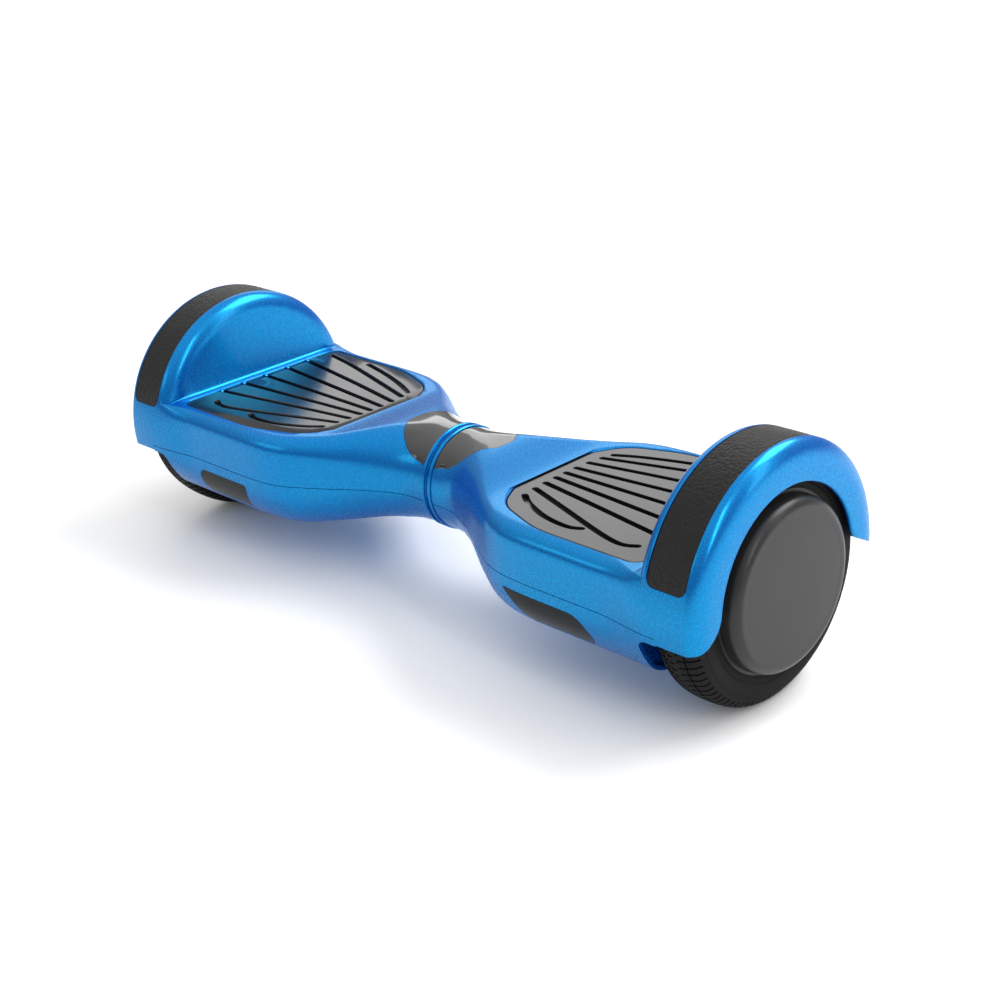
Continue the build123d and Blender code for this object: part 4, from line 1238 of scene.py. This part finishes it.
@dataclass
class Wheel:
    """The solid tyre with its tread and the satin hub cap."""

    axle: float = 84.0
    middle: float = 262.0
    pitches: int = 90
    steps_per_pitch: int = 4
    tread_depth: float = 1.5
    tread_r: float = 77.6
    long_groove: Point2 = (7.4, 8.6)
    centre_rib: float = 1.2
    lean_from: float = 4.0
    wall: tuple[Point2, ...] = (
        (17.0, 60.0), (17.3, 61.5), (17.9, 62.4), (18.0, 64.2), (17.3, 64.8), (17.3, 65.6), (17.9, 66.3),
        (18.0, 70.0), (17.8, 73.0), (17.2, 73.6), (17.0, 74.4), (17.1, 75.4), (16.3, 78.0), (15.0, 80.0),
        (13.6, 81.6), (11.8, 82.7), (10.0, 83.3), (8.6, 83.5), (7.4, 83.7), (5.0, 83.9), (3.0, 84.0),
        (1.2, 84.0))
    cap_x: float = 279.3
    cap_face: float = 292.0
    cap_r: float = 58.0
    cap_round: float = 7.5

    def tyre(self) -> Piece:
        """The tyre, with sipes and lugs pressed into its tread."""
        half = [(self.middle + x, r) for x, r in self.wall]
        profile = half + [(2 * self.middle - x, r) for x, r in reversed(half)]
        steps = self.pitches * self.steps_per_pitch
        tyre = Piece.spun("right_tyre_tread", profile, self.axle, steps)
        tyre.edit("FACE")
        bpy.ops.mesh.select_all(action="DESELECT")
        tyre.leave()
        for face in tyre.obj.data.polygons:
            face.select = self.is_groove(face.center / MM)
        tyre.edit("FACE")
        bpy.ops.mesh.extrude_region_shrink_fatten(
            TRANSFORM_OT_shrink_fatten={"value": -self.tread_depth * MM, "use_even_offset": False})
        tyre.leave()
        return tyre

    def is_groove(self, centre: Vector) -> bool:
        """Whether a face of the tread is sunk.

        Args:
            centre: the face's middle, in millimetres.

        Returns:
            True for the sipes, the two long grooves and the shoulder notches.
        """
        across = abs(centre.x - self.middle)
        out = math.hypot(centre.y, centre.z - self.axle)
        if out < self.tread_r:
            return False
        turn = math.atan2(centre.z - self.axle, centre.y) / math.tau % 1
        step = int(turn * self.pitches * self.steps_per_pitch)
        shift = 0 if centre.x > self.middle else 2
        phase = (step + shift) % self.steps_per_pitch
        if self.long_groove[0] < across < self.long_groove[1]:
            return True
        if across > self.long_groove[1]:
            return phase == 0
        lean = 1 if across > self.lean_from else 2
        return across > self.centre_rib and phase == lean

    def cap(self) -> Piece:
        """The hub cap: deep sides, a rounded edge and a nearly flat face."""
        r, face, curve = self.cap_r, self.cap_face, self.cap_round
        x = self.cap_x
        profile = [(x, 0.0), (x, r - 0.6), (x + 0.6, r), (x + 2.0, r - 0.1)]
        profile += arc_points((face - curve, r - curve - 0.3), (curve, curve), 80, 12, 12)
        profile += [(face - 0.12, r - curve - 2.2), (face - 0.3, r - curve - 3.0),
                    (face - 0.1, r - curve - 3.8), (face - 0.05, 30.0), (face - 0.15, 12.0),
                    (face - 0.2, 0.0)]
        return Piece.spun("right_hub_face", profile, self.axle, 128, closed=False)

    def build(self, dresser: Dresser) -> None:
        """Makes, dresses and seats tyres and caps."""
        pair(self.tyre().smooth_shade(40), "left_tyre_tread", dresser, "tyre_rubber", "wheel", "tyre")
        pair(self.cap().smooth_shade(40), "left_hub_face", dresser, "cap_plastic", "wheel", "hub_cap")


@dataclass
class Studio:
    """Floor, lights and camera."""

    azimuth: float = 46.51
    elevation: float = 23.69
    roll: float = -3.86
    distance: float = 1.26576
    target: Triple = (0.03054, 0.00475, 0.07132)
    lens: float = 63.83
    sky_stops: tuple[tuple[float, float], ...] = (
        (0.0, 0.87), (0.04, 0.14), (0.12, 0.28), (0.42, 0.56), (0.8, 1.0))
    sky_power: float = 1.15
    floor_size: float = 30.0
    softboxes: tuple[tuple[str, Triple, tuple[float, float], float], ...] = (
        ("top_box", (0.55, 1.0, 1.35), (1.3, 0.8), 22.0),
        ("back_box", (-3.2, 3.2, 2.0), (3.3, 1.6), 26.0),
        ("side_box", (1.9, -0.45, 1.15), (0.22, 1.2), 8.0),
        ("right_box", (1.7, 0.9, 0.8), (0.35, 1.3), 4.0),
        ("front_box", (-0.9, -1.7, 1.0), (1.2, 0.4), 2.5),
    )

    def camera(self) -> None:
        """Places the camera."""
        az, el, roll = (math.radians(a) for a in (self.azimuth, self.elevation, self.roll))
        back = Vector((math.sin(az) * math.cos(el), -math.cos(az) * math.cos(el), math.sin(el)))
        right = (-back).cross(Vector((0, 0, 1))).normalized()
        up = back.cross(right)
        across = right * math.cos(roll) + up * math.sin(roll)
        above = up * math.cos(roll) - right * math.sin(roll)
        Piece.clear_selection()
        bpy.ops.object.camera_add()
        camera = bpy.context.object
        camera.name = "camera"
        place = Vector(self.target) + back * self.distance
        camera.matrix_world = Matrix.Translation(place) @ Matrix((across, above, back)).transposed().to_4x4()
        camera.data.lens = self.lens
        camera.data.sensor_width = 36
        camera.data.clip_start = 0.05
        bpy.context.scene.camera = camera

    def lights(self) -> None:
        """Hangs the softboxes and sets the room's light."""
        for name, place, size, power in self.softboxes:
            Piece.clear_selection()
            bpy.ops.object.light_add(type="AREA", location=place)
            lamp = bpy.context.object
            lamp.name = name
            lamp.data.shape = "RECTANGLE"
            lamp.data.size, lamp.data.size_y = size
            lamp.data.energy = power
            aim = Vector((0, 0, 0.05)) - Vector(place)
            lamp.rotation_euler = aim.to_track_quat("-Z", "Y").to_euler()
        world = bpy.data.worlds.new("room")
        world.use_nodes = True
        sky = Graph(world.node_tree)
        way = sky.node("SeparateXYZ", {}, {0: sky.node("TexCoord", {}, {}, "Generated")}, "Z")
        level = sky.ramp(way, *self.sky_stops) * self.sky_power
        glow = sky.node("Background", {}, {"Color": (1, 1, 1, 1), "Strength": level})
        sky.node("OutputWorld", {}, {"Surface": glow})
        bpy.context.scene.world = world
        bpy.context.scene.view_settings.view_transform = "Standard"

    def floor(self) -> None:
        """Lays the plain pale floor."""
        Piece.clear_selection()
        bpy.ops.mesh.primitive_plane_add(size=self.floor_size)
        floor = bpy.context.object
        floor.name = "floor"
        shader = Shader("paper_floor")
        tone = shader.noise(3, 2)
        shader.set(Base_Color=shader.blend(tone, (0.93, 0.93, 0.93), (0.95, 0.95, 0.95)), Roughness=0.7)
        floor.data.materials.append(shader.material)

    def build(self) -> None:
        """Makes the whole studio."""
        self.camera()
        self.lights()
        self.floor()


def dress_frame(frame: dict, dresser: Dresser) -> None:
    """Gives every carried-over node its slot's finish.

    Args:
        frame: the loaded frame.
        dresser: hands out materials.
    """
    for part in frame["record"]["subparts"]:
        dresser.dress(frame["nodes"][part["node"]], part["material_slot"])


def main() -> None:
    """Builds the board's looks."""
    logging.basicConfig(level=logging.INFO, format="%(name)s: %(message)s")
    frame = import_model()
    Studio().build()
    dresser = Dresser()
    dress_frame(frame, dresser)
    hull, outlines = Hull(), Outlines()
    Covers(hull, outlines).build(dresser)
    Glazing(hull, outlines).build(dresser)
    FootPad(outlines).build(dresser)
    Wheel().build(dresser)


if __name__ == "__main__":
    main()
